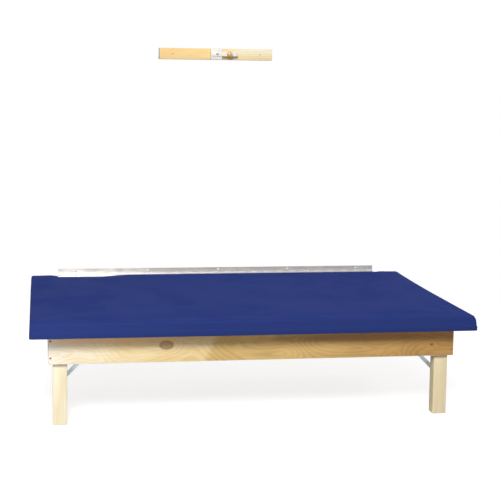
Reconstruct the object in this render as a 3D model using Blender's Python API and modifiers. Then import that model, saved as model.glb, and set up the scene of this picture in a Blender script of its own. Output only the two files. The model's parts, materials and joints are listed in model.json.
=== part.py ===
"""Folding mat platform hung on a wall: padded top on a long hinge, two braced legs, a turn catch above.

Lengths are in metres. X runs along the mat, +Y points to the wall (y = 0) and heights count from the floor.
The root empty then lowers everything, so that the origin lies in the middle of the wall leaf's back face.
"""
import math

import bmesh
import bpy
from mathutils import Matrix, Vector

# Mat and deck
MAT_LENGTH = 2.134
MAT_REACH = 1.219
MAT_HEIGHT = 0.508
MAT_REAR_GAP = 0.010
MAT_CORNER_RADIUS = 0.012
MAT_EDGE_RADIUS = 0.018
FOAM_THICKNESS = 0.051
DECK_THICKNESS = 0.019
DECK_LIP = 0.005
VINYL_THICKNESS = 0.0015

# Frame boards under the deck
RAIL_THICKNESS = 0.019
RAIL_HEIGHT = 0.140
END_OVERHANG = 0.088
FRONT_OVERHANG = 0.085
REAR_OVERHANG = 0.045
JOIST_HEIGHT = 0.089
JOIST_COUNT = 3
SPACER_LENGTH = 0.090

# Folding legs
LEG_WIDTH = 0.067
LEG_DEPTH = 0.056
LEG_SIDE_CLEARANCE = 0.002
LEG_FACE_CLEARANCE = 0.001
LEG_TOP_CLEARANCE = 0.0025
LEG_BOLT_RADIUS = 0.005
LEG_BOLT_HEAD_RADIUS = 0.009
LEG_BOLT_HEAD_HEIGHT = 0.005

# Two-piece braces, straight at 45 degrees when the leg is down
BRACE_DROP = 0.206
BRACE_REACH = 0.155
BRACE_LOWER_LENGTH = 0.130
BRACE_WIDTH = 0.019
BRACE_THICKNESS = 0.003
BRACE_SPACE = 0.002
BRACE_GAP = 0.0026
BRACE_BOLT_RADIUS = 0.003
BRACE_HEAD_RADIUS = 0.0065
BRACE_HEAD_HEIGHT = 0.0018
BRACE_BOLT_BITE = 0.030
RIVET_HEAD_HEIGHT = 0.0014

# Long hinge
LEAF_LENGTH = 1.829
LEAF_THICKNESS = 0.0025
WALL_LEAF_RISE = 0.032
DECK_LEAF_REACH = 0.038
PIN_OFFSET = 0.0045
PIN_RADIUS = 0.0022
KNUCKLE_COUNT = 15
KNUCKLE_GAP = 0.0005
NOTCH_CLEARANCE = 0.0008
HINGE_RAIL_WIDTH = 0.045
HINGE_RAIL_MARGIN = 0.020

# Screws
SCREW_PITCH = 0.4064
SCREW_COUNT = 5
SCREW_SHANK_RADIUS = 0.0023
SCREW_HEAD_RADIUS = 0.0052
WALL_SCREW_RISE = 0.019
WALL_HEAD_HEIGHT = 0.0032
LEAF_SCREW_REACH = 0.022
LEAF_HEAD_HEIGHT = 0.0018
LEAF_SCREW_LENGTH = 0.032
RAIL_SCREW_LENGTH = 0.045
RAIL_SCREW_EDGE = 0.030
RAIL_HEAD_HEIGHT = 0.0012

# Catch on the wall above the folded platform
CATCH_SHIFT = -0.039
CATCH_CLEARANCE = 0.004
CLEAT_LENGTH = 0.636
CLEAT_HEIGHT = 0.062
CLEAT_DEPTH = 0.066
CATCH_SCREW_INSET = 0.071
CATCH_SCREW_SINK = 0.0012
BLOCK_WIDTH = 0.064
BLOCK_SHIFT = -0.0025
BAR_CLEARANCE = 0.002
BAR_PIVOT_SHIFT = 0.0015
BAR_WIDTH = 0.024
BAR_THICKNESS = 0.003
BAR_TAIL = 0.033
BAR_REACH = 0.114
BAR_SCREW_RADIUS = 0.003
BAR_SCREW_HEAD_RADIUS = 0.006
BAR_SCREW_HEAD_HEIGHT = 0.003
BAR_SCREW_BITE = 0.025
KNOB_REACH = 0.067
KNOB_RADIUS = 0.0155
KNOB_HEIGHT = 0.026
KNOB_NECK_RADIUS = 0.008
KNOB_TENON_RADIUS = 0.0035

# Fit and facets
FIT_GAP = 0.0003
ROUND_STEPS = 12
ARC_STEPS = 8
EDGE_SEGMENTS = 4

# Heights that follow from the mat's layers
FOAM_TOP = MAT_HEIGHT - VINYL_THICKNESS - FIT_GAP
FOAM_BOTTOM = FOAM_TOP - FOAM_THICKNESS
DECK_TOP = FOAM_BOTTOM - FIT_GAP
DECK_BOTTOM = DECK_TOP - DECK_THICKNESS
RAIL_TOP = DECK_BOTTOM - FIT_GAP
RAIL_BOTTOM = RAIL_TOP - RAIL_HEIGHT
JOIST_BOTTOM = RAIL_TOP - JOIST_HEIGHT

# Hinge axis
PIN_Y = -(LEAF_THICKNESS + PIN_OFFSET)
LEAF_TOP = MAT_HEIGHT + FIT_GAP + LEAF_THICKNESS
PIN_Z = LEAF_TOP + PIN_OFFSET
KNUCKLE_RADIUS = PIN_OFFSET + 0.6 * LEAF_THICKNESS
WALL_LEAF_BOTTOM = PIN_Z - KNUCKLE_RADIUS
WALL_LEAF_TOP = PIN_Z + WALL_LEAF_RISE
MOUNT_HEIGHT = (WALL_LEAF_BOTTOM + WALL_LEAF_TOP) / 2

# Frame planes
MAT_HALF = MAT_LENGTH / 2
MAT_BACK = -MAT_REAR_GAP
SKIRT_HALF = MAT_HALF - END_OVERHANG
SKIRT_FRONT = -(MAT_REACH - FRONT_OVERHANG)
SKIRT_BACK = SKIRT_FRONT + RAIL_THICKNESS
FRAME_BACK = MAT_BACK - REAR_OVERHANG
INSIDE_HALF = SKIRT_HALF - RAIL_THICKNESS

# Leg channel, from the front rail back to the inner rail
LEG_FRONT = SKIRT_BACK + LEG_FACE_CLEARANCE
LEG_BACK = LEG_FRONT + LEG_DEPTH
LOWER_LINK_FRONT = LEG_BACK + BRACE_SPACE
LOWER_LINK_BACK = LOWER_LINK_FRONT + BRACE_THICKNESS
UPPER_LINK_FRONT = LOWER_LINK_BACK + BRACE_GAP
UPPER_LINK_BACK = UPPER_LINK_FRONT + BRACE_THICKNESS
INNER_RAIL_FRONT = UPPER_LINK_BACK + BRACE_SPACE
INNER_RAIL_BACK = INNER_RAIL_FRONT + RAIL_THICKNESS
LEG_X = INSIDE_HALF - LEG_SIDE_CLEARANCE - LEG_WIDTH / 2
LEG_PIVOT_Z = DECK_BOTTOM - LEG_TOP_CLEARANCE - LEG_WIDTH / 2
BRACE_FOOT_Z = LEG_PIVOT_Z - BRACE_DROP
BRACE_ANCHOR_Z = BRACE_FOOT_Z + BRACE_REACH
KNEE_SHARE = BRACE_LOWER_LENGTH / (BRACE_REACH * math.sqrt(2))

# The platform folded up against the wall sets where the catch goes
FOLDED_EDGE_Z = PIN_Z + MAT_REACH + PIN_Y
FOLDED_BELLY_Y = PIN_Y - (PIN_Z - DECK_BOTTOM)
CLEAT_BOTTOM = FOLDED_EDGE_Z + CATCH_CLEARANCE
CATCH_Z = CLEAT_BOTTOM + CLEAT_HEIGHT / 2
BAR_BACK = FOLDED_BELLY_Y - BAR_CLEARANCE
BAR_FRONT = BAR_BACK - BAR_THICKNESS
BAR_PIVOT_X = CATCH_SHIFT + BAR_PIVOT_SHIFT

FACING = {
    "up": (0.0, 0.0, 0.0),
    "front": (math.pi / 2, 0.0, 0.0),
    "back": (-math.pi / 2, 0.0, 0.0),
}


def clear_scene():
    for obj in list(bpy.data.objects):
        bpy.data.objects.remove(obj, do_unlink=True)


def new_collection(name):
    collection = bpy.data.collections.new(name)
    bpy.context.scene.collection.children.link(collection)
    return collection


def new_material(name, colour, roughness, metallic=0.0):
    material = bpy.data.materials.new(name)
    material.use_nodes = True
    shader = material.node_tree.nodes["Principled BSDF"]
    shader.inputs["Base Color"].default_value = (*colour, 1.0)
    shader.inputs["Roughness"].default_value = roughness
    shader.inputs["Metallic"].default_value = metallic
    material.diffuse_color = (*colour, 1.0)
    return material


def new_pivot(name, place, parent=None):
    """An empty at a joint axis; place is counted from the floor unless it is the root."""
    pivot = bpy.data.objects.new(name, None)
    PARTS.objects.link(pivot)
    pivot.parent = parent
    pivot.location = Vector(place) - (floor_place(parent) if parent else Vector())
    return pivot


def floor_place(pivot):
    place = Vector()
    while pivot.parent:
        place += pivot.location
        pivot = pivot.parent
    return place


def mesh_from(bm, name):
    mesh = bpy.data.meshes.new(name)
    bm.to_mesh(mesh)
    bm.free()
    return mesh


def add_part(name, mesh, place, pivot, material, facing="up"):
    obj = bpy.data.objects.new(name, mesh)
    PARTS.objects.link(obj)
    obj.parent = pivot
    obj.location = Vector(place) - floor_place(pivot)
    obj.rotation_euler = FACING[facing]
    mesh.materials.append(material)
    return obj


def block_matrix(x, y, z):
    """Matrix that stretches a unit cube over the three (low, high) spans."""
    spans = (x, y, z)
    centre = [(low + high) / 2 for low, high in spans]
    size = [high - low for low, high in spans]
    return Matrix.Translation(centre) @ Matrix.Diagonal((*size, 1.0))


def add_box(name, x, y, z, pivot, material):
    matrix = block_matrix(x, y, z)
    place = matrix.to_translation()
    bm = bmesh.new()
    bmesh.ops.create_cube(bm, size=1.0, matrix=Matrix.Translation(-place) @ matrix)
    return add_part(name, mesh_from(bm, name), place, pivot, material)


def add_turned(name, profile, place, facing, pivot, material):
    """Lathe piece: (radius, height) points down its outer side, turned about local Z."""
    mesh = bpy.data.meshes.new(name)
    points = [(radius, 0.0, height) for radius, height in profile]
    mesh.from_pydata(points, [(i, i + 1) for i in range(len(points) - 1)], [])
    obj = add_part(name, mesh, place, pivot, material, facing)
    screw = obj.modifiers.new("turn", "SCREW")
    screw.steps = ROUND_STEPS
    screw.render_steps = ROUND_STEPS
    screw.use_merge_vertices = True
    screw.merge_threshold = 0.00001
    return obj


def fastener_profile(head_radius, head_height, shank_radius, shank_length):
    """Low domed head standing on its seat at height 0, with a plain shank below it."""
    return [
        (0.0, head_height),
        (0.6 * head_radius, 0.9 * head_height),
        (head_radius, 0.35 * head_height),
        (head_radius, 0.0),
        (shank_radius, 0.0),
        (shank_radius, -shank_length),
        (0.0, -shank_length),
    ]


def arc(centre, radius, start, end, steps=ARC_STEPS):
    angles = [math.radians(start + (end - start) * i / steps) for i in range(steps + 1)]
    return [(centre[0] + radius * math.cos(a), centre[1] + radius * math.sin(a)) for a in angles]


def circle(centre, radius):
    return arc(centre, radius, 0, 360, ROUND_STEPS)[:-1]


def outline_mesh(name, loops, thickness):
    """Flat plate from an outer loop and its holes, made a welded mesh in local XY."""
    curve = bpy.data.curves.new(name, "CURVE")
    curve.dimensions = "2D"
    curve.fill_mode = "BOTH"
    curve.extrude = thickness / 2
    for loop in loops:
        spline = curve.splines.new("POLY")
        spline.points.add(len(loop) - 1)
        for point, (u, v) in zip(spline.points, loop):
            point.co = (u, v, 0.0, 1.0)
        spline.use_cyclic_u = True
    guide = bpy.data.objects.new(name, curve)
    bpy.context.scene.collection.objects.link(guide)
    evaluated = guide.evaluated_get(bpy.context.evaluated_depsgraph_get())
    mesh = bpy.data.meshes.new_from_object(evaluated)
    bpy.data.objects.remove(guide, do_unlink=True)
    bm = bmesh.new()
    bm.from_mesh(mesh)
    bmesh.ops.remove_doubles(bm, verts=bm.verts, dist=0.000001)
    bmesh.ops.recalc_face_normals(bm, faces=bm.faces)
    bm.to_mesh(mesh)
    bm.free()
    return mesh


def add_plate(name, loops, front, back, pivot, material):
    """Plate standing in XZ between two y planes; loops are (x, z) relative to the pivot."""
    mesh = outline_mesh(name, loops, back - front)
    home = floor_place(pivot)
    return add_part(name, mesh, (home.x, (front + back) / 2, home.z), pivot, material, "front")


def add_cutter(name, mesh):
    obj = bpy.data.objects.new(name, mesh)
    CUTTERS.objects.link(obj)
    obj.parent = ROOT
    obj.hide_render = True
    obj.display_type = "WIRE"
    return obj


def box_cutter(name, boxes):
    bm = bmesh.new()
    for x, y, z in boxes:
        bmesh.ops.create_cube(bm, size=1.0, matrix=block_matrix(x, y, z))
    return add_cutter(name, mesh_from(bm, name))


def rod_cutter(name, places, radius, length, facing):
    """Round cutters whose axes start at each place and run length against the way they face."""
    bm = bmesh.new()
    turn = Matrix.Rotation(FACING[facing][0], 4, "X")
    for place in places:
        matrix = Matrix.Translation(place) @ turn @ Matrix.Translation((0.0, 0.0, -length / 2))
        bmesh.ops.create_cone(
            bm,
            cap_ends=True,
            segments=ROUND_STEPS,
            radius1=radius,
            radius2=radius,
            depth=length,
            matrix=matrix,
        )
    return add_cutter(name, mesh_from(bm, name))


def cut(obj, *cutters):
    for cutter in cutters:
        boolean = obj.modifiers.new("cut", "BOOLEAN")
        boolean.operation = "DIFFERENCE"
        boolean.solver = "EXACT"
        boolean.object = cutter


def screw_stations():
    middle = (SCREW_COUNT - 1) / 2
    return [(i - middle) * SCREW_PITCH for i in range(SCREW_COUNT)]


def knuckle_spans(first):
    """X spans of every second knuckle, widened by the running gap between knuckles."""
    length = LEAF_LENGTH / KNUCKLE_COUNT
    return [
        (i * length - LEAF_LENGTH / 2 - KNUCKLE_GAP, (i + 1) * length - LEAF_LENGTH / 2 + KNUCKLE_GAP)
        for i in range(first, KNUCKLE_COUNT, 2)
    ]


def add_leaf(name, loops, pivot, material):
    """Leaf extruded along X; loops are (y, z) from the hinge axis."""
    mesh = outline_mesh(name, loops, LEAF_LENGTH)
    obj = add_part(name, mesh, (0.0, PIN_Y, PIN_Z), pivot, material)
    obj.rotation_euler = (math.pi / 2, 0.0, math.pi / 2)
    return obj


def build_wall_leaf():
    bite = math.sqrt(KNUCKLE_RADIUS ** 2 - PIN_OFFSET ** 2)
    start = math.degrees(math.atan2(bite, PIN_OFFSET))
    outer = [(-PIN_Y, WALL_LEAF_RISE), (PIN_OFFSET, WALL_LEAF_RISE)]
    outer += arc((0.0, 0.0), KNUCKLE_RADIUS, start, 270)
    outer += [(-PIN_Y, -KNUCKLE_RADIUS)]
    leaf = add_leaf("wall_hinge_leaf", [outer, circle((0.0, 0.0), PIN_RADIUS + FIT_GAP)], ROOT, STEEL)
    reach = KNUCKLE_RADIUS + NOTCH_CLEARANCE
    notches = box_cutter(
        "wall_leaf_notches",
        [
            (x, (PIN_Y - 2 * reach, LEAF_THICKNESS), (PIN_Z - 2 * reach, PIN_Z + reach))
            for x in knuckle_spans(1)
        ],
    )
    places = [(x, -2 * LEAF_THICKNESS, PIN_Z + WALL_SCREW_RISE) for x in screw_stations()]
    holes = rod_cutter("wall_screw_holes", places, SCREW_SHANK_RADIUS + FIT_GAP, 3 * LEAF_THICKNESS, "front")
    cut(leaf, notches, holes)
    add_turned(
        "hinge_pin",
        [
            (0.0, LEAF_LENGTH / 2),
            (PIN_RADIUS, LEAF_LENGTH / 2),
            (PIN_RADIUS, -LEAF_LENGTH / 2),
            (0.0, -LEAF_LENGTH / 2),
        ],
        (0.0, PIN_Y, PIN_Z),
        "up",
        ROOT,
        STEEL,
    ).rotation_euler = (0.0, math.pi / 2, 0.0)
    profile = fastener_profile(
        SCREW_HEAD_RADIUS, WALL_HEAD_HEIGHT, SCREW_SHANK_RADIUS, LEAF_THICKNESS + FIT_GAP
    )
    for i, x in enumerate(screw_stations(), 1):
        seat = (x, -LEAF_THICKNESS - FIT_GAP, PIN_Z + WALL_SCREW_RISE)
        add_turned(f"wall_screw_{i}", profile, seat, "front", ROOT, STEEL)


def build_deck_leaf():
    bite = math.sqrt(KNUCKLE_RADIUS ** 2 - PIN_OFFSET ** 2)
    end = math.degrees(math.atan2(-PIN_OFFSET, -bite)) + 360
    under = -PIN_OFFSET - LEAF_THICKNESS
    outer = [(KNUCKLE_RADIUS, under)]
    outer += arc((0.0, 0.0), KNUCKLE_RADIUS, 0, end)
    outer += [(-DECK_LEAF_REACH, -PIN_OFFSET), (-DECK_LEAF_REACH, under)]
    leaf = add_leaf("deck_hinge_leaf", [outer, circle((0.0, 0.0), PIN_RADIUS + FIT_GAP)], PLATFORM, STEEL)
    reach = KNUCKLE_RADIUS + NOTCH_CLEARANCE
    notches = box_cutter(
        "deck_leaf_notches",
        [
            (x, (PIN_Y - reach, PIN_Y + 2 * reach), (PIN_Z - 2 * reach, PIN_Z + 2 * reach))
            for x in knuckle_spans(0)
        ],
    )
    y = PIN_Y - LEAF_SCREW_REACH
    places = [(x, y, LEAF_TOP + LEAF_THICKNESS) for x in screw_stations()]
    depth = LEAF_SCREW_LENGTH + LEAF_THICKNESS + 2 * FIT_GAP
    holes = rod_cutter("leaf_screw_holes", places, SCREW_SHANK_RADIUS + FIT_GAP, depth, "up")
    cut(leaf, notches, holes)
    profile = fastener_profile(SCREW_HEAD_RADIUS, LEAF_HEAD_HEIGHT, SCREW_SHANK_RADIUS, LEAF_SCREW_LENGTH)
    for i, x in enumerate(screw_stations(), 1):
        add_turned(f"leaf_screw_{i}", profile, (x, y, LEAF_TOP + FIT_GAP), "up", PLATFORM, STEEL)
    return holes


def mat_outline(inset, rear_inset):
    """Mat outline drawn in from its edge, square at the rear and rounded at the two front corners."""
    half = MAT_HALF - inset
    front = -MAT_REACH + inset
    back = MAT_BACK - rear_inset
    radius = max(MAT_CORNER_RADIUS - inset, MAT_CORNER_RADIUS / 2)
    corner_y = front + radius
    left = arc((radius - half, corner_y), radius, 180, 270, EDGE_SEGMENTS)
    right = arc((half - radius, corner_y), radius, 270, 360, EDGE_SEGMENTS)
    return [(half, back), (-half, back)] + left + right


def soft_edge(inset, top, radius):
    """(height, inset) levels up a side and round its top edge."""
    round_over = arc((radius + inset, top - radius), radius, 180, 90, EDGE_SEGMENTS)
    return [(height, across) for across, height in round_over]


def pad_mesh(name, levels):
    """Block skinned over mat outlines; levels are (height, inset) from the foot up."""
    bm = bmesh.new()
    rear_inset = min(inset for _, inset in levels)
    rings = [
        [bm.verts.new((x, y, height)) for x, y in mat_outline(inset, rear_inset)]
        for height, inset in levels
    ]
    bm.faces.new(reversed(rings[0]))
    bm.faces.new(rings[-1])
    for low, high in zip(rings, rings[1:]):
        for i in range(len(low)):
            bm.faces.new((low[i - 1], low[i], high[i], high[i - 1]))
    return mesh_from(bm, name)


def build_mat(leaf_holes):
    """Deck, foam, hinge rail and the vinyl that wraps the foam and the deck's edge."""
    origin = (0.0, 0.0, 0.0)
    skin = VINYL_THICKNESS
    deck_inset = skin + FIT_GAP
    foam_inset = deck_inset + DECK_LIP
    lip_top = DECK_TOP + FIT_GAP + skin
    outer = [(DECK_BOTTOM, 0.0), (lip_top, 0.0)]
    outer += soft_edge(DECK_LIP, MAT_HEIGHT, MAT_EDGE_RADIUS)
    cavity = [(DECK_BOTTOM - DECK_THICKNESS, skin), (lip_top - skin, skin)]
    cavity += soft_edge(DECK_LIP + skin, MAT_HEIGHT - skin, MAT_EDGE_RADIUS - skin)
    cover = add_part("vinyl_cover", pad_mesh("vinyl_cover", outer), origin, PLATFORM, VINYL)
    cut(cover, add_cutter("vinyl_cavity", pad_mesh("vinyl_cavity", cavity)), leaf_holes)

    deck = [(DECK_BOTTOM, deck_inset), (DECK_TOP, deck_inset)]
    add_part("deck_panel", pad_mesh("deck_panel", deck), origin, PLATFORM, PLYWOOD)
    core = [(FOAM_BOTTOM, foam_inset)]
    core += soft_edge(foam_inset, FOAM_TOP, MAT_EDGE_RADIUS - deck_inset)
    foam = add_part("foam_core", pad_mesh("foam_core", core), origin, PLATFORM, FOAM)
    foam_back = MAT_BACK - foam_inset
    rail_half = LEAF_LENGTH / 2 + HINGE_RAIL_MARGIN
    rail_front = foam_back - HINGE_RAIL_WIDTH
    recess = box_cutter(
        "hinge_rail_recess",
        [
            (
                (-rail_half - FIT_GAP, rail_half + FIT_GAP),
                (rail_front - FIT_GAP, MAT_REAR_GAP),
                (FOAM_BOTTOM - FOAM_THICKNESS, FOAM_TOP + FOAM_THICKNESS),
            )
        ],
    )
    cut(foam, recess)
    rail = add_box(
        "hinge_rail",
        (-rail_half, rail_half),
        (rail_front, foam_back),
        (FOAM_BOTTOM, FOAM_TOP),
        PLATFORM,
        PINE,
    )
    cut(rail, leaf_holes)


def build_frame():
    """Boards under the deck: skirt, ends, rear, inner rail, joists and the channel spacer."""
    heights = (RAIL_BOTTOM, RAIL_TOP)
    inside = (-INSIDE_HALF + FIT_GAP, INSIDE_HALF - FIT_GAP)
    across = (-SKIRT_HALF, SKIRT_HALF)
    front = add_box("front_rail", across, (SKIRT_FRONT, SKIRT_BACK), heights, PLATFORM, PLYWOOD)
    end_x = SKIRT_HALF - RAIL_THICKNESS / 2
    screw_heights = {"lower": RAIL_BOTTOM + RAIL_SCREW_EDGE, "upper": RAIL_TOP - RAIL_SCREW_EDGE}
    places = [(side * end_x, SKIRT_FRONT, z) for side in (-1, 1) for z in screw_heights.values()]
    start = [(x, y - RAIL_THICKNESS / 2, z) for x, y, z in places]
    length = RAIL_SCREW_LENGTH + RAIL_THICKNESS / 2 + FIT_GAP
    holes = rod_cutter("rail_screw_holes", start, SCREW_SHANK_RADIUS + FIT_GAP, length, "front")
    cut(front, holes)
    profile = fastener_profile(SCREW_HEAD_RADIUS, RAIL_HEAD_HEIGHT, SCREW_SHANK_RADIUS, RAIL_SCREW_LENGTH)
    for word, side in (("left", -1), ("right", 1)):
        span = sorted((side * INSIDE_HALF, side * SKIRT_HALF))
        depth = (SKIRT_BACK + FIT_GAP, FRAME_BACK)
        end = add_box(f"{word}_end_rail", span, depth, heights, PLATFORM, PLYWOOD)
        cut(end, holes)
        for level, z in screw_heights.items():
            seat = (side * end_x, SKIRT_FRONT - FIT_GAP, z)
            add_turned(f"rail_screw_{word}_{level}", profile, seat, "front", PLATFORM, DARK_STEEL)
    add_box("rear_rail", inside, (FRAME_BACK - RAIL_THICKNESS, FRAME_BACK), heights, PLATFORM, PLYWOOD)
    inner = add_box("inner_rail", inside, (INNER_RAIL_FRONT, INNER_RAIL_BACK), heights, PLATFORM, PLYWOOD)
    run = (INNER_RAIL_BACK + FIT_GAP, FRAME_BACK - RAIL_THICKNESS - FIT_GAP)
    for i in range(1, JOIST_COUNT + 1):
        x = -INSIDE_HALF + 2 * INSIDE_HALF * i / (JOIST_COUNT + 1)
        span = (x - RAIL_THICKNESS / 2, x + RAIL_THICKNESS / 2)
        add_box(f"joist_{i}", span, run, (JOIST_BOTTOM, RAIL_TOP), PLATFORM, PINE)
    add_box(
        "channel_spacer",
        (-SPACER_LENGTH / 2, SPACER_LENGTH / 2),
        (SKIRT_BACK + FIT_GAP, INNER_RAIL_FRONT - FIT_GAP),
        (JOIST_BOTTOM, RAIL_TOP),
        PLATFORM,
        PINE,
    )
    return inner


def link_outline(start, end):
    """Strap with round ends from one pivot point to the other, (x, z) points."""
    heading = math.degrees(math.atan2(end[1] - start[1], end[0] - start[0]))
    radius = BRACE_WIDTH / 2
    return arc(end, radius, heading - 90, heading + 90) + arc(start, radius, heading + 90, heading + 270)


def build_leg(word, side, inner_rail):
    """Leg, its pivot bolt and its two brace links; side is -1 on the left and 1 on the right."""
    inward = -side
    leg_pivot = new_pivot(f"{word}_leg_axis", (side * LEG_X, LEG_FRONT, LEG_PIVOT_Z), PLATFORM)
    half = LEG_WIDTH / 2
    outline = arc((0.0, 0.0), half, 0, 180, 2 * ARC_STEPS) + [(-half, -LEG_PIVOT_Z), (half, -LEG_PIVOT_Z)]
    hole = circle((0.0, 0.0), LEG_BOLT_RADIUS + FIT_GAP)
    leg = add_plate(f"{word}_leg", [outline, hole], LEG_FRONT, LEG_BACK, leg_pivot, PINE)

    back_face = INNER_RAIL_BACK + FIT_GAP
    bolt_length = back_face - SKIRT_BACK - FIT_GAP
    profile = fastener_profile(LEG_BOLT_HEAD_RADIUS, LEG_BOLT_HEAD_HEIGHT, LEG_BOLT_RADIUS, bolt_length)
    seat = (side * LEG_X, back_face, LEG_PIVOT_Z)
    add_turned(f"{word}_leg_bolt", profile, seat, "back", PLATFORM, DARK_STEEL)
    bolt_hole = rod_cutter(
        f"{word}_leg_bolt_hole",
        [(side * LEG_X, INNER_RAIL_BACK + RAIL_THICKNESS, LEG_PIVOT_Z)],
        LEG_BOLT_RADIUS + FIT_GAP,
        3 * RAIL_THICKNESS,
        "back",
    )

    foot = (side * LEG_X, BRACE_FOOT_Z)
    anchor = (side * LEG_X + inward * BRACE_REACH, BRACE_ANCHOR_Z)
    knee = tuple(a + (b - a) * KNEE_SHARE for a, b in zip(foot, anchor))
    pin_hole = BRACE_BOLT_RADIUS + FIT_GAP
    knee_step = (knee[0] - foot[0], knee[1] - foot[1])
    foot_pivot = new_pivot(f"{word}_brace_foot_axis", (foot[0], LOWER_LINK_FRONT, foot[1]), leg_pivot)
    lower = [link_outline((0.0, 0.0), knee_step), circle((0.0, 0.0), pin_hole)]
    add_plate(f"{word}_lower_brace", lower, LOWER_LINK_FRONT, LOWER_LINK_BACK, foot_pivot, ZINC)

    anchor_pivot = new_pivot(f"{word}_brace_anchor_axis", (anchor[0], UPPER_LINK_FRONT, anchor[1]), PLATFORM)
    knee_step = (knee[0] - anchor[0], knee[1] - anchor[1])
    upper = [
        link_outline((0.0, 0.0), knee_step),
        circle((0.0, 0.0), pin_hole),
        circle(knee_step, pin_hole),
    ]
    add_plate(f"{word}_upper_brace", upper, UPPER_LINK_FRONT, UPPER_LINK_BACK, anchor_pivot, ZINC)
    collar_back = BRACE_THICKNESS + 2 * FIT_GAP
    collar_front = BRACE_THICKNESS + BRACE_GAP
    rivet = fastener_profile(BRACE_HEAD_RADIUS, RIVET_HEAD_HEIGHT, BRACE_BOLT_RADIUS, collar_back)
    rivet[-1] = (BRACE_HEAD_RADIUS, -collar_back)
    rivet += [(BRACE_HEAD_RADIUS, -collar_front), (0.0, -collar_front)]
    seat = (knee[0], UPPER_LINK_BACK + FIT_GAP, knee[1])
    add_turned(f"{word}_knee_rivet", rivet, seat, "back", anchor_pivot, ZINC)

    foot_seat = LOWER_LINK_BACK + FIT_GAP
    bite = foot_seat - LEG_BACK + BRACE_BOLT_BITE
    profile = fastener_profile(BRACE_HEAD_RADIUS, BRACE_HEAD_HEIGHT, BRACE_BOLT_RADIUS, bite)
    add_turned(f"{word}_brace_foot_bolt", profile, (foot[0], foot_seat, foot[1]), "back", leg_pivot, ZINC)
    foot_hole = rod_cutter(
        f"{word}_foot_bolt_hole",
        [(foot[0], LEG_BACK + RAIL_THICKNESS, foot[1])],
        pin_hole,
        BRACE_BOLT_BITE + RAIL_THICKNESS + FIT_GAP,
        "back",
    )
    cut(leg, foot_hole)

    anchor_seat = UPPER_LINK_FRONT - FIT_GAP
    profile = fastener_profile(
        BRACE_HEAD_RADIUS, BRACE_HEAD_HEIGHT, BRACE_BOLT_RADIUS, INNER_RAIL_BACK - anchor_seat
    )
    place = (anchor[0], anchor_seat, anchor[1])
    add_turned(f"{word}_brace_anchor_bolt", profile, place, "front", PLATFORM, ZINC)
    anchor_hole = rod_cutter(
        f"{word}_anchor_bolt_hole",
        [(anchor[0], INNER_RAIL_FRONT - RAIL_THICKNESS, anchor[1])],
        pin_hole,
        3 * RAIL_THICKNESS,
        "front",
    )
    cut(inner_rail, bolt_hole, anchor_hole)


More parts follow.
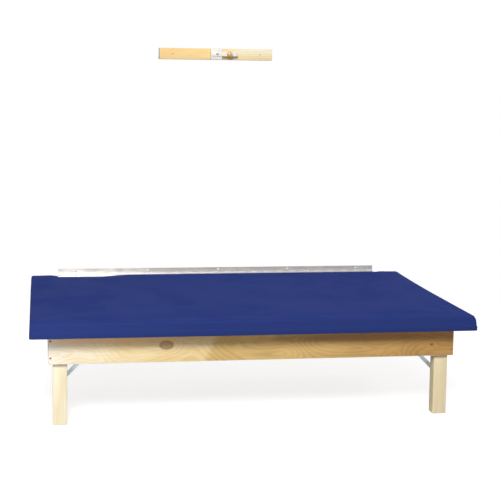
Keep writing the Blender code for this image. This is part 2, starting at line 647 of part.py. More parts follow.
def build_catch():
    """Wooden cleat on the wall, with a white block and a turn bar that holds the folded platform."""
    cleat = add_box(
        "catch_cleat",
        (CATCH_SHIFT - CLEAT_LENGTH / 2, CATCH_SHIFT + CLEAT_LENGTH / 2),
        (-CLEAT_DEPTH, 0.0),
        (CLEAT_BOTTOM, CLEAT_BOTTOM + CLEAT_HEIGHT),
        ROOT,
        PINE,
    )
    station = CLEAT_LENGTH / 2 - CATCH_SCREW_INSET
    seats = {word: CATCH_SHIFT + side * station for word, side in (("left", -1), ("right", 1))}
    screw_hole = rod_cutter(
        "catch_screw_holes",
        [(x, -2 * CLEAT_DEPTH, CATCH_Z) for x in seats.values()],
        SCREW_SHANK_RADIUS + FIT_GAP,
        3 * CLEAT_DEPTH,
        "front",
    )
    sinks = rod_cutter(
        "catch_screw_sinks",
        [(x, -2 * CLEAT_DEPTH, CATCH_Z) for x in seats.values()],
        SCREW_HEAD_RADIUS + FIT_GAP,
        CLEAT_DEPTH + CATCH_SCREW_SINK,
        "front",
    )
    profile = fastener_profile(
        SCREW_HEAD_RADIUS, RAIL_HEAD_HEIGHT, SCREW_SHANK_RADIUS, CLEAT_DEPTH - CATCH_SCREW_SINK
    )
    for word, x in seats.items():
        seat = (x, -CLEAT_DEPTH + CATCH_SCREW_SINK - FIT_GAP, CATCH_Z)
        add_turned(f"catch_screw_{word}", profile, seat, "front", ROOT, DARK_STEEL)

    block_x = CATCH_SHIFT + BLOCK_SHIFT
    block = add_box(
        "latch_block",
        (block_x - BLOCK_WIDTH / 2, block_x + BLOCK_WIDTH / 2),
        (BAR_BACK + FIT_GAP, -CLEAT_DEPTH - FIT_GAP),
        (CLEAT_BOTTOM, CLEAT_BOTTOM + CLEAT_HEIGHT),
        ROOT,
        WHITE,
    )
    seat = (BAR_PIVOT_X, BAR_FRONT - FIT_GAP, CATCH_Z)
    length = -CLEAT_DEPTH + BAR_SCREW_BITE - seat[1]
    pivot_hole = rod_cutter(
        "bar_screw_hole",
        [(seat[0], seat[1] - BAR_THICKNESS, seat[2])],
        BAR_SCREW_RADIUS + FIT_GAP,
        length + BAR_THICKNESS + FIT_GAP,
        "front",
    )
    profile = fastener_profile(BAR_SCREW_HEAD_RADIUS, BAR_SCREW_HEAD_HEIGHT, BAR_SCREW_RADIUS, length)
    add_turned("latch_pivot_screw", profile, seat, "front", ROOT, STEEL)
    cut(block, pivot_hole)
    cut(cleat, screw_hole, sinks, pivot_hole)

    latch = new_pivot("latch_axis", (BAR_PIVOT_X, BAR_FRONT, CATCH_Z), ROOT)
    half = BAR_WIDTH / 2
    outline = arc((BAR_REACH - half, 0.0), half, -90, 90) + [(-BAR_TAIL, half), (-BAR_TAIL, -half)]
    holes = [
        circle((0.0, 0.0), BAR_SCREW_RADIUS + FIT_GAP),
        circle((KNOB_REACH, 0.0), KNOB_TENON_RADIUS + FIT_GAP),
    ]
    add_plate("latch_bar", [outline] + holes, BAR_FRONT, BAR_BACK, latch, WHITE)
    knob = [
        (0.0, KNOB_HEIGHT),
        (0.5 * KNOB_RADIUS, 0.97 * KNOB_HEIGHT),
        (0.88 * KNOB_RADIUS, 0.82 * KNOB_HEIGHT),
        (KNOB_RADIUS, 0.60 * KNOB_HEIGHT),
        (0.88 * KNOB_RADIUS, 0.38 * KNOB_HEIGHT),
        (KNOB_NECK_RADIUS, 0.18 * KNOB_HEIGHT),
        (KNOB_NECK_RADIUS, 0.0),
        (KNOB_TENON_RADIUS, 0.0),
        (KNOB_TENON_RADIUS, -BAR_THICKNESS - FIT_GAP),
        (0.0, -BAR_THICKNESS - FIT_GAP),
    ]
    place = (BAR_PIVOT_X + KNOB_REACH, BAR_FRONT - FIT_GAP, CATCH_Z)
    add_turned("latch_knob", knob, place, "front", latch, TURNED_WOOD)


clear_scene()
PARTS = new_collection("mat_platform_table")
CUTTERS = new_collection("mat_platform_table_cutters")
VINYL = new_material("vinyl", (0.028, 0.046, 0.195), 0.42)
FOAM = new_material("foam", (0.80, 0.74, 0.55), 0.95)
PLYWOOD = new_material("plywood", (0.72, 0.51, 0.30), 0.55)
PINE = new_material("pine", (0.80, 0.63, 0.40), 0.60)
TURNED_WOOD = new_material("turned_wood", (0.72, 0.46, 0.19), 0.40)
STEEL = new_material("steel", (0.68, 0.70, 0.68), 0.35, 1.0)
DARK_STEEL = new_material("dark_steel", (0.10, 0.09, 0.08), 0.50, 1.0)
ZINC = new_material("zinc", (0.46, 0.50, 0.56), 0.40, 1.0)
WHITE = new_material("white_paint", (0.86, 0.86, 0.84), 0.45)
ROOT = new_pivot("wall_side", (0.0, 0.0, -MOUNT_HEIGHT))
PLATFORM = new_pivot("platform_axis", (0.0, PIN_Y, PIN_Z), ROOT)

build_wall_leaf()
build_mat(build_deck_leaf())
INNER_RAIL = build_frame()
build_leg("left", -1, INNER_RAIL)
build_leg("right", 1, INNER_RAIL)
build_catch()
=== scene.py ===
"""Visible pieces, finishes and stage of a folding mat platform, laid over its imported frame."""

import json
import math
from contextlib import contextmanager

import bmesh
import bpy
from bpy.props import FloatProperty, FloatVectorProperty, IntProperty, PointerProperty
from bpy.types import NodeSocket, Operator, Panel, PropertyGroup
from mathutils import Matrix, Vector


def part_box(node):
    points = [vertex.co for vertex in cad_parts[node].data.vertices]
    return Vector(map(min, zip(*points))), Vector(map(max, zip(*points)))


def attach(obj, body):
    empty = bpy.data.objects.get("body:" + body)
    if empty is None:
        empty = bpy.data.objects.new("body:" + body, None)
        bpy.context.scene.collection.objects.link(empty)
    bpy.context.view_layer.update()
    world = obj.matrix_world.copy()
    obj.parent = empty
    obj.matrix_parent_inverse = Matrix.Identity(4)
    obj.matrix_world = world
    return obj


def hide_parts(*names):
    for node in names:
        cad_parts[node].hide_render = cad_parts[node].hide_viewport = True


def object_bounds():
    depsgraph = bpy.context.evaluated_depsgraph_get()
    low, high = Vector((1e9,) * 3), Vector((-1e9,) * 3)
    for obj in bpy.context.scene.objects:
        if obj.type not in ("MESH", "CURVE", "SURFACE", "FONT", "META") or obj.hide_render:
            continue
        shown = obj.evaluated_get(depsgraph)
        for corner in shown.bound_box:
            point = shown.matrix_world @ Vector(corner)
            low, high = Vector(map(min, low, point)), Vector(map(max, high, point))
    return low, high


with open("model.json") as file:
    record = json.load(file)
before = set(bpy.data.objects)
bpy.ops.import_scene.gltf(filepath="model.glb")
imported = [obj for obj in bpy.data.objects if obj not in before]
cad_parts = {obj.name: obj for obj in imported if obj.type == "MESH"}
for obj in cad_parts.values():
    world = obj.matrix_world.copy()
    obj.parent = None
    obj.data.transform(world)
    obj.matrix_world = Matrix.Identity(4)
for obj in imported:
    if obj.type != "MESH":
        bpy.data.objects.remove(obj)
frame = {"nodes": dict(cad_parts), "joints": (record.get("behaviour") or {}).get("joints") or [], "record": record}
CAD_BOX = [list(corner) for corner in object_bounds()]

bl_info = {
    "name": "Folding Mat Platform",
    "version": (1, 0, 0),
    "blender": (4, 5, 0),
    "location": "3D View > Sidebar > Mat Platform",
    "description": "Builds the visible pieces, finishes and stage of a folding mat platform",
    "category": "Object",
}

BODY_OF = {node: body for body, nodes in frame["record"]["behaviour"]["bodies"].items() for node in nodes}
JOINT_AT = {joint["name"]: Vector(joint["pos_m"]) for joint in frame["joints"]}
FLOOR_Z = CAD_BOX[0][2]
SIDES = ("left", "right")
X, Y, Z = range(3)
FACING = {"up": (0.0, 0.0, 0.0), "front": (math.pi / 2, 0.0, 0.0), "back": (-math.pi / 2, 0.0, 0.0)}
# Object axes in the order that makes the grain run along the first of them
GRAIN = {"along": (X, Y, Z), "back": (Y, X, Z), "up": (Z, X, Y), "flat": (X, Z, Y)}
FINISHES = {}

# Marks on the front board's face: middle and radii, along the board and up it
VENEER_MARKS = {
    "knot": ((-0.429, -0.152), (0.030, 0.019)),
    "swirl": ((-0.120, -0.150), (0.110, 0.048)),
    "pin_knot": ((0.868, -0.176), (0.010, 0.007)),
    # Painted shade: two dark bands along the board's top, under the mat's overhang
    "painted_shade_right": ((0.52, -0.132), (0.50, 0.025)),
    "painted_shade_left": ((-0.62, -0.122), (0.50, 0.024)),
}
# Colours of the painted shade along the board's top, orange at the left and dark brown at the right
PAINTED_SHADE_LEFT_COLOUR = (0.82, 0.51, 0.25, 1.0)
PAINTED_SHADE_RIGHT_COLOUR = (0.36, 0.155, 0.06, 1.0)
KNOT_RIM = (0.19, 0.066, 0.012, 1.0)
KNOT_HEART = (0.40, 0.165, 0.040, 1.0)
PIN_KNOT = (0.14, 0.06, 0.02, 1.0)
# Painted light and shade: tints that set the mat's sides and its top apart, by how each faces the lamps
SIDE_PAINTED_TINT = (1.0, 0.985, 0.87, 1.0)
TOP_PAINTED_TINT = (0.86, 0.93, 0.94, 1.0)
# Painted reflection: bluish cast of the mat on the hinge's knuckles
KNUCKLE_PAINTED_REFLECTION = (0.66, 0.68, 0.80, 1.0)
WHITE = (1.0, 1.0, 1.0, 1.0)
# Near-white screw heads: pale zinc and a painted highlight
SCREW_PALE_AND_GLINT = (0.97, 0.97, 0.95)
PLY_PAIR = 0.0054
LEG_PITH = (0.0, -0.70, -1.10)
CLEAT_PITH = (0.0, 0.05, 1.108)

# Runs in metres over which the shape of the swelled mat changes
CLEARANCE = 0.0002
FOLD_EASE = 0.0015
TUCK_DEPTH = 0.05
RAIL_RUN = 0.05
LEAF_END_RUN = 0.1
BULGE_LEFT = (-0.75, -0.5)
BULGE_FRONT = (0.001, 0.013)
BULGE_FADE = 0.25
END_RISE_RUN = (0.002, 0.04)
END_BAND = (-0.10, -0.02)
STAND_RUN = 0.6
LIP_RUN = 0.004
PRESSURE = 4.0
CLOTH_FRAMES = 20

ROUND_END = 0.498
BLOCK_EASE = 0.0015
LINK_EASE = 0.0004
LEAF_EASE = 0.0003
BAR_EASE = 0.0005
BAR_CORNER = 0.003
LINK_WIDTH = 0.019
SHANK = 0.0023
BOLT_SHANK = 0.0030
TENON_RADIUS = 0.0035
# Radius and height of the knob's rings, as shares of its own
KNOB_SHAPE = (
    (0.52, 0.0), (0.52, 0.06), (0.58, 0.08), (0.58, 0.12), (0.50, 0.16), (0.48, 0.22), (0.56, 0.30),
    (0.76, 0.38), (0.93, 0.48), (1.0, 0.60), (0.97, 0.72), (0.86, 0.84), (0.66, 0.93), (0.38, 0.985),
    (0.12, 1.0),
)
# Name, kind, place, target, size and share of the key lamp's power
LAMPS = (
    ("key_lamp", "AREA", (-1.8, -6.97, 4.98), (0.0, -0.7, 0.0), 2.6, 1.0),
    ("back_lamp", "AREA", (3.2, 3.4, 2.4), (0.0, -0.5, 0.0), 2.0, 0.11),
    ("top_lamp", "AREA", (0.3, -2.4, 4.4), (0.0, -0.6, 0.0), 2.4, 0.045),
    ("left_spot", "SPOT", (-2.1, -4.0, -0.2), (-1.0, -1.13, -0.33), 0.3, 0.10),
)
SPOT_ANGLE = math.radians(26.0)
LAMP_COLOUR = (1.0, 0.985, 0.96)
FLOOR_RADIUS = 14.0
FLOOR_GREY = (0.42, 0.42, 0.42, 1.0)
FLOOR_LIFT = 0.82
FLOOR_FADE = (1.6, 3.4)


def metres(name, description, default):
    return FloatProperty(name=name, description=description, default=default, unit="LENGTH", precision=4)


def shade(name, description, default):
    return FloatVectorProperty(
        name=name, description=description, default=default, subtype="COLOR", size=3, min=0.0, max=1.0
    )


def degrees(name, description, angle):
    return FloatProperty(name=name, description=description, default=math.radians(angle), subtype="ANGLE")


class MatSettings(PropertyGroup):
    crown: metres("Crown", "Most that the vinyl swells over the foam", 0.003)
    edge_radius: metres("Edge radius", "Rounding of the mat's top edge", 0.011)
    lip_width: metres("Lip width", "Ledge where the vinyl turns down", 0.005)
    bulge: metres("Bulge", "How far the foam rises in front of the hinge", 0.0135)
    end_rise: metres("End rise", "How far the foam rises past the hinge's ends", 0.008)
    stand: metres("Stand", "How far the ends stand out over the lip, the right only behind", 0.006)
    side_lean: metres("Side lean", "How far the foam's side leans in towards the top", 0.004)
    hem_width: metres("Hem width", "Vinyl turned under the deck and stapled", 0.036)
    skin: metres("Skin", "Thickness of the vinyl", 0.0012)
    cells: IntProperty(name="Cells", description="Cuts along the mat before it swells", default=95, max=100)
    vinyl: shade("Vinyl", "Colour of the cover", (0.024, 0.042, 0.204))
    pebble: metres("Pebble", "Size of the embossed grain", 0.0022)


class WoodSettings(PropertyGroup):
    ease: metres("Ease", "Rounding of the boards' arrises", 0.0022)
    leg_ease: metres("Leg ease", "Rounding of the legs' arrises", 0.0032)
    # The pale left end is partly painted light, which falls off towards the right
    veneer_left: shade("Veneer, left", "Pale wood and painted light at the left", (0.97, 0.955, 0.90))
    veneer_line: shade("Veneer, lines", "Grain lines at the left end", (0.91, 0.74, 0.45))
    veneer_field: shade("Veneer, field", "Sapwood between left end and middle", (0.93, 0.78, 0.47))
    veneer_middle: shade("Veneer, middle", "Front board's middle", (0.80, 0.545, 0.21))
    veneer_right: shade("Veneer, right", "Heartwood at the right", (0.58, 0.325, 0.100))
    plywood: shade("Plywood", "Face of the hidden boards", (0.68, 0.50, 0.29))
    # The left leg's pine is paler than the right leg's, partly as painted light
    pine: shade("Pine", "Left leg and joists", (0.91, 0.86, 0.67))
    pine_right: shade("Right leg", "Yellower pine of the right leg, partly painted shade", (0.885, 0.81, 0.585))
    cleat: shade("Cleat", "Board of the wall catch", (0.86, 0.66, 0.33))
    cleat_right: shade("Cleat, right", "Paler right end of the catch's board", (0.87, 0.84, 0.66))
    knob: shade("Knob", "Turned knob of the catch", (0.70, 0.42, 0.15))


class HardwareSettings(PropertyGroup):
    knuckles: IntProperty(name="Knuckles", description="Knuckles along the hinge", default=48)
    knuckle_gap: metres("Knuckle gap", "Running gap between knuckles", 0.0008)
    leaf: metres("Leaf", "Thickness of the hinge leaves", 0.0025)
    groove: metres("Groove", "Depth of the brace links' groove", 0.0009)
    hinge: shade("Hinge", "Bright rolled steel", (0.70, 0.675, 0.62))
    zinc: shade("Zinc", "Zinc-plated braces", (0.565, 0.64, 0.70))
    dark: shade("Dark steel", "Oiled screws and bolts", (0.32, 0.31, 0.34))
    bronze: shade("Bronze", "Bronzed screws of the front board", (0.30, 0.20, 0.10))
    paint: shade("Paint", "White block and bar of the catch", (0.75, 0.74, 0.69))


class StageSettings(PropertyGroup):
    eye: FloatVectorProperty(
        name="Eye", description="Camera position", default=(-1.0223, -6.1577, 1.0888), unit="LENGTH"
    )
    heading: degrees("Heading", "Camera turned to the right of the wall's normal", 8.009)
    tilt: degrees("Tilt", "Camera tilted down", 5.21)
    roll: degrees("Roll", "Camera rolled about its axis", -0.709)
    lens: FloatProperty(name="Lens", description="Focal length in millimetres", default=79.0, unit="CAMERA")
    shift: FloatVectorProperty(name="Shift", description="Lens shift", default=(0.115, -0.14), size=2)
    key_power: FloatProperty(name="Key", description="Key lamp", default=612.0, unit="POWER")
    ambient: FloatProperty(name="Ambient", description="Level of the surrounding light", default=0.20)


def make_active(piece):
    bpy.ops.object.select_all(action="DESELECT")
    piece.select_set(True)
    bpy.context.view_layer.objects.active = piece


def name_piece(piece, name):
    piece.name = name
    piece.data.name = name
    return piece


def apply_place(piece):
    """Put a piece's place, turn and scale into its mesh."""
    make_active(piece)
    bpy.ops.object.transform_apply(location=True, rotation=True, scale=True)
    return piece


def put(piece, place, turn):
    piece.rotation_euler = turn
    piece.location = place
    return apply_place(piece)


def join(piece, other):
    make_active(piece)
    other.select_set(True)
    bpy.ops.object.join()


@contextmanager
def editing(piece):
    """Edit mode on one piece."""
    make_active(piece)
    bpy.ops.object.mode_set(mode="EDIT")
    yield
    bpy.ops.object.mode_set(mode="OBJECT")


def select_where(piece, kind, test):
    """In edit mode, select only the vertices, edges or faces that pass the test."""
    bpy.ops.mesh.select_mode(type=kind)
    bpy.ops.mesh.select_all(action="DESELECT")
    shape = bmesh.from_edit_mesh(piece.data)
    shape.normal_update()
    parts = {"VERT": shape.verts, "EDGE": shape.edges, "FACE": shape.faces}[kind]
    chosen = [part for part in parts if test(part)]
    if not chosen:
        raise RuntimeError(f"{piece.name}: nothing to select")
    for part in chosen:
        part.select_set(True)
    shape.select_flush_mode()
    bmesh.update_edit_mesh(piece.data)


def extrude(move):
    bpy.ops.mesh.extrude_region_move(TRANSFORM_OT_translate={"value": move})


def face_outward():
    bpy.ops.mesh.select_all(action="SELECT")
    bpy.ops.mesh.normals_make_consistent(inside=False)


def near(value, target):
    return abs(value - target) < 0.00001


def runs_along(edge, axis):
    span = edge.verts[1].co - edge.verts[0].co
    return span.length > 0 and abs(span[axis]) > 0.98 * span.length


def bevel_across(piece, axis, place, offset, segments):
    """In edit mode, bevel the edges that run front to back at one place on an axis."""

    def is_there(edge):
        middle = (edge.verts[0].co + edge.verts[1].co) / 2
        return runs_along(edge, Y) and near(middle[axis], place)

    select_where(piece, "EDGE", is_there)
    bpy.ops.mesh.bevel(offset=offset, segments=segments, affect="EDGES")


def smooth_step(value, low, high):
    share = min(1.0, max(0.0, (value - low) / (high - low)))
    return share * share * (3 - 2 * share)


def apply_modifier(piece, kind, **settings):
    modifier = piece.modifiers.new(kind.title(), kind)
    for name, value in settings.items():
        setattr(modifier, name, value)
    make_active(piece)
    bpy.ops.object.modifier_apply(modifier=modifier.name)


def ease_edges(piece, width, segments=3):
    """Round every sharp arris."""
    apply_modifier(
        piece, "BEVEL", width=width, segments=segments, limit_method="ANGLE", angle_limit=math.radians(40)
    )


def box_piece(name, low, high):
    """Box between two corners."""
    low, high = Vector(low), Vector(high)
    bpy.ops.mesh.primitive_cube_add(size=1.0, location=(low + high) / 2)
    bpy.context.object.scale = high - low
    return apply_place(name_piece(bpy.context.object, name))


def turned(name, rings, sides=32):
    """Piece turned about Z, drawn up through (radius, height) rings."""
    radius, height = rings[0]
    middle = (0.0, 0.0, height)
    bpy.ops.mesh.primitive_circle_add(vertices=sides, radius=radius, fill_type="NGON", location=middle)
    piece = apply_place(name_piece(bpy.context.object, name))
    with editing(piece):
        bpy.ops.mesh.select_all(action="SELECT")
        for next_radius, next_height in rings[1:]:
            extrude((0.0, 0.0, next_height - height))
            ratio = next_radius / radius
            bpy.ops.transform.resize(value=(ratio, ratio, 1.0), center_override=(0.0, 0.0, next_height))
            radius, height = next_radius, next_height
        face_outward()
    return piece


def cut_cross(piece, reach, width, depth, top):
    """Cross recess for a driver in the top of a screw head."""
    for half_x, half_y in ((reach, width), (width, reach)):
        cutter = box_piece("recess_cutter", (-half_x, -half_y, top - depth), (half_x, half_y, top + depth))
        apply_modifier(piece, "BOOLEAN", operation="DIFFERENCE", object=cutter, solver="EXACT")
        bpy.data.objects.remove(cutter, do_unlink=True)


def mark_faces(piece, name, test):
    """Store what the test gives for each face, from 0 to 1, for the finish to read."""
    layer = piece.data.attributes.new(name, "FLOAT", "FACE")
    layer.data.foreach_set("value", [float(test(face)) for face in piece.data.polygons])


def board(name, node, finish, ease, grain, thickness=None):
    """Eased board in a node's place, its arrises and its cut ends or edges marked."""
    piece = box_piece(name, *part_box(node))
    ease_edges(piece, ease)
    mark_faces(piece, "arris", lambda face: max(abs(part) for part in face.normal) < 0.985)
    if thickness is None:
        mark_faces(piece, "cut_end", lambda face: abs(face.normal[grain]) > 0.7)
    else:
        mark_faces(piece, "cut_edge", lambda face: abs(face.normal[thickness]) < 0.5)
    settle(piece, finish, node)


def give_finish(piece, finish):
    piece.data.materials.clear()
    piece.data.materials.append(FINISHES[finish])


def settle(piece, finish, *nodes):
    """Give a piece its finish and its body, and hide the nodes that it stands for."""
    give_finish(piece, finish)
    make_active(piece)
    bpy.ops.object.shade_smooth_by_angle(angle=math.radians(35))
    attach(piece, BODY_OF[nodes[0]])
    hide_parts(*nodes)


def rgb(colour, level=1.0):
    return (*(min(1.0, channel * level) for channel in colour), 1.0)


def toned(colour, *levels):
    return [channel * level for channel, level in zip(colour, levels)]


class ShaderNet:
    """Adds nodes to one shader tree and gives back their sockets."""

    def __init__(self, tree):
        self.tree = tree

    def feed(self, node, inputs):
        """Link each input that is given a socket and set the others."""
        for key, value in inputs.items():
            if isinstance(value, NodeSocket):
                self.tree.links.new(value, node.inputs[key])
            else:
                node.inputs[key].default_value = value
        return node

    def add(self, kind, inputs=None, **settings):
        made = self.tree.nodes.new(kind)
        for name, value in settings.items():
            setattr(made, name, value)
        return self.feed(made, inputs or {})

    def calc(self, operation, *values):
        return self.add("ShaderNodeMath", dict(enumerate(values)), operation=operation).outputs[0]

    def times(self, first, second):
        return self.calc("MULTIPLY", first, second)

    def times_plus(self, first, second, third):
        return self.calc("MULTIPLY_ADD", first, second, third)

    def vector_calc(self, operation, *values):
        made = self.add("ShaderNodeVectorMath", dict(enumerate(values)), operation=operation)
        return made.outputs["Value" if operation == "LENGTH" else "Vector"]

    def stretch(self, vector, scale):
        return self.vector_calc("MULTIPLY", vector, scale)

    def split(self, vector):
        return self.add("ShaderNodeSeparateXYZ", {0: vector}).outputs

    def place(self):
        return self.add("ShaderNodeTexCoord").outputs["Object"]

    def along_grain(self, grain):
        """Object coordinates with the grain along the first of them."""
        parts = self.split(self.place())
        order = {index: parts[axis] for index, axis in enumerate(GRAIN[grain])}
        return self.add("ShaderNodeCombineXYZ", order).outputs[0]

    def mark(self, name):
        """What mark_faces stored on a piece."""
        return self.add("ShaderNodeAttribute", attribute_name=name).outputs["Fac"]

    def group(self, name, *values):
        tree = bpy.data.node_groups[name]
        return self.add("ShaderNodeGroup", dict(enumerate(values)), node_tree=tree).outputs

    def ramp(self, value, low, high, start=0.0, end=1.0):
        """Smooth step of a value from one range to another."""
        inputs = dict(enumerate((value, low, high, start, end)))
        return self.add("ShaderNodeMapRange", inputs, interpolation_type="SMOOTHSTEP").outputs[0]

    def fade(self, value, low, high):
        return self.ramp(value, low, high, 1.0, 0.0)

    def between(self, mask, low, high):
        return self.ramp(mask, 0.0, 1.0, low, high)

    def noise(self, vector, scale, detail=2.0, roughness=0.5, distortion=0.0):
        inputs = {"Vector": vector, "Scale": scale, "Detail": detail}
        inputs.update({"Roughness": roughness, "Distortion": distortion})
        return self.add("ShaderNodeTexNoise", inputs).outputs["Fac"]

    def blend(self, share, first, second, mode="MIX"):
        inputs = {0: share, 6: first, 7: second}
        return self.add("ShaderNodeMix", inputs, data_type="RGBA", blend_type=mode).outputs[2]

    def tint(self, colour, *layers):
        """Lay (mask, share, colour) layers over a colour in turn."""
        for mask, share, layer in layers:
            colour = self.blend(self.times(mask, share), colour, layer)
        return colour

    def surface(self, colour, roughness, relief=None, **others):
        """Feed the surface shader; relief gives a height, its strength and its depth."""
        inputs = {"Base Color": colour, "Roughness": roughness}
        inputs.update({key.replace("_", " "): value for key, value in others.items()})
        if relief:
            bump = dict(zip(("Height", "Strength", "Distance"), relief))
            inputs["Normal"] = self.add("ShaderNodeBump", bump).outputs[0]
        return self.feed(self.tree.nodes["Principled BSDF"], inputs)


def wood_fibre(net, vector, fineness):
    """Fine fibres of wood, long along the first axis."""
    drawn = net.stretch(vector, (0.035, 1.0, 1.0))
    coarse = net.noise(drawn, net.times(fineness, 0.3))
    fine = net.noise(drawn, fineness, 3.0, 0.6)
    both = net.times(net.calc("ADD", coarse, fine), 0.5)
    return [net.ramp(both, 0.36, 0.64)]


def growth_rings(net, vector, pith, spacing, wander):
    """Growth rings about a pith that runs along the first axis, beside the board."""
    flat = net.stretch(net.vector_calc("SUBTRACT", vector, pith), (0.0, 1.0, 1.0))
    sway = net.noise(net.stretch(vector, (1.0, 4.0, 4.0)), 3.0, 1.0)
    moved = net.times_plus(sway, wander, net.vector_calc("LENGTH", flat))
    turns = net.calc("FRACT", net.calc("DIVIDE", moved, spacing))
    return [net.times(net.ramp(turns, 0.30, 0.90), net.fade(turns, 0.90, 1.0))]


def veneer_figure(net, vector, contours, pull):
    """Loops of peeled veneer, pulled round the knots, and pale clouds."""
    field = net.noise(net.stretch(vector, (1.2, 4.2, 4.2)), 1.9, 1.0, 0.45, 0.3)
    ragged = net.noise(net.stretch(vector, (9.0, 60.0, 60.0)), 1.0, 2.0, 0.6)
    levels = net.times_plus(field, contours, pull)
    turns = net.calc("FRACT", net.times_plus(ragged, 0.45, levels))
    loops = net.times(net.ramp(turns, 0.25, 0.86), net.fade(turns, 0.88, 1.0))
    cloud = net.ramp(net.noise(net.stretch(vector, (1.0, 2.5, 2.5)), 5.0), 0.33, 0.68)
    return [net.times(loops, net.times_plus(cloud, 0.65, 0.35)), cloud]


def metal_tone(net, vector, fineness):
    """Rolled metal: drawn lines along the first axis and dull patches."""
    lines = net.noise(net.stretch(vector, (0.02, 1.0, 1.0)), fineness, 3.0, 0.6)
    patches = net.noise(vector, 22.0, 3.0, 0.6)
    return [net.ramp(lines, 0.35, 0.65), net.ramp(patches, 0.35, 0.70)]


def handling(net, vector, scale):
    """Faint wiped smears on surfaces that people touch."""
    return [net.ramp(net.noise(vector, scale, 4.0, 0.62, 0.6), 0.40, 0.72)]


GROUPS = (
    (wood_fibre, ("Vector", "Fineness"), ("Fibre",)),
    (growth_rings, ("Vector", "Pith", "Spacing", "Wander"), ("Late Wood",)),
    (veneer_figure, ("Vector", "Contours", "Pull"), ("Figure", "Cloud")),
    (metal_tone, ("Vector", "Fineness"), ("Lines", "Patches")),
    (handling, ("Vector", "Scale"), ("Smear",)),
)


def make_group(build, inputs, outputs):
    """Node group named after the function that builds its outputs."""
    tree = bpy.data.node_groups.new(build.__name__, "ShaderNodeTree")
    for in_out, names in (("INPUT", inputs), ("OUTPUT", outputs)):
        for name in names:
            kind = "Vector" if name in ("Vector", "Pith") else "Float"
            tree.interface.new_socket(name=name, in_out=in_out, socket_type=f"NodeSocket{kind}")
    start = tree.nodes.new("NodeGroupInput")
    end = tree.nodes.new("NodeGroupOutput")
    made = build(ShaderNet(tree), *[start.outputs[name] for name in inputs])
    for name, value in zip(outputs, made):
        tree.links.new(value, end.inputs[name])


def new_finish(name):
    material = bpy.data.materials.new(name)
    material.use_nodes = True
    FINISHES[name] = material
    return ShaderNet(material.node_tree)


def vinyl_finish(mat):
    """Royal blue upholstery vinyl with an embossed pebble, its top and sides tinted apart as painted light and
    shade.
    """
    net = new_finish("vinyl")
    vector = net.place()
    fineness = 1.0 / mat.pebble
    inputs = {"Vector": vector, "Scale": fineness, "Smoothness": 0.6, "Randomness": 0.9}
    pebble = net.add("ShaderNodeTexVoronoi", inputs, feature="SMOOTH_F1").outputs["Distance"]
    relief = net.times_plus(net.noise(vector, fineness * 0.5), 0.5, pebble)
    smear = net.group("handling", vector, 3.5)[0]
    drift = net.ramp(net.noise(vector, 1.3), 0.3, 0.7)
    tone = net.blend(drift, rgb(mat.vinyl, 0.965), rgb(mat.vinyl, 1.03))
    pitted = net.tint(tone, (net.ramp(pebble, 0.35, 0.8), 0.22, rgb(mat.vinyl, 0.6)))
    # Painted light and shade: the top and the sides take differently tinted copies of the vinyl
    painted_facing_tint = net.blend(net.mark("upward"), SIDE_PAINTED_TINT, TOP_PAINTED_TINT)
    face = net.blend(1.0, pitted, painted_facing_tint, "MULTIPLY")
    net.surface(face, net.between(smear, 0.60, 0.70), (relief, 0.30, 0.0006), Specular_IOR_Level=0.01)


def mark_distance(net, vector, middle, radii):
    """Distance from a mark on the front board, in the mark's radii."""
    away = net.vector_calc("SUBTRACT", vector, (middle[0], 0.0, middle[1]))
    return net.vector_calc("LENGTH", net.stretch(away, (1.0 / radii[0], 0.0, 1.0 / radii[1])))


def ply_layers(net, thickness, pale, brown):
    """Stripes of the plies on a plywood board's cut edges."""
    vector = net.place()
    wobble = net.times(net.noise(vector, 60.0, 1.0), 1.5)
    plies = net.times_plus(net.split(vector)[thickness], 2.0 * math.pi / PLY_PAIR, wobble)
    return net.blend(net.ramp(net.calc("SINE", plies), -0.2, 0.5), pale, brown)


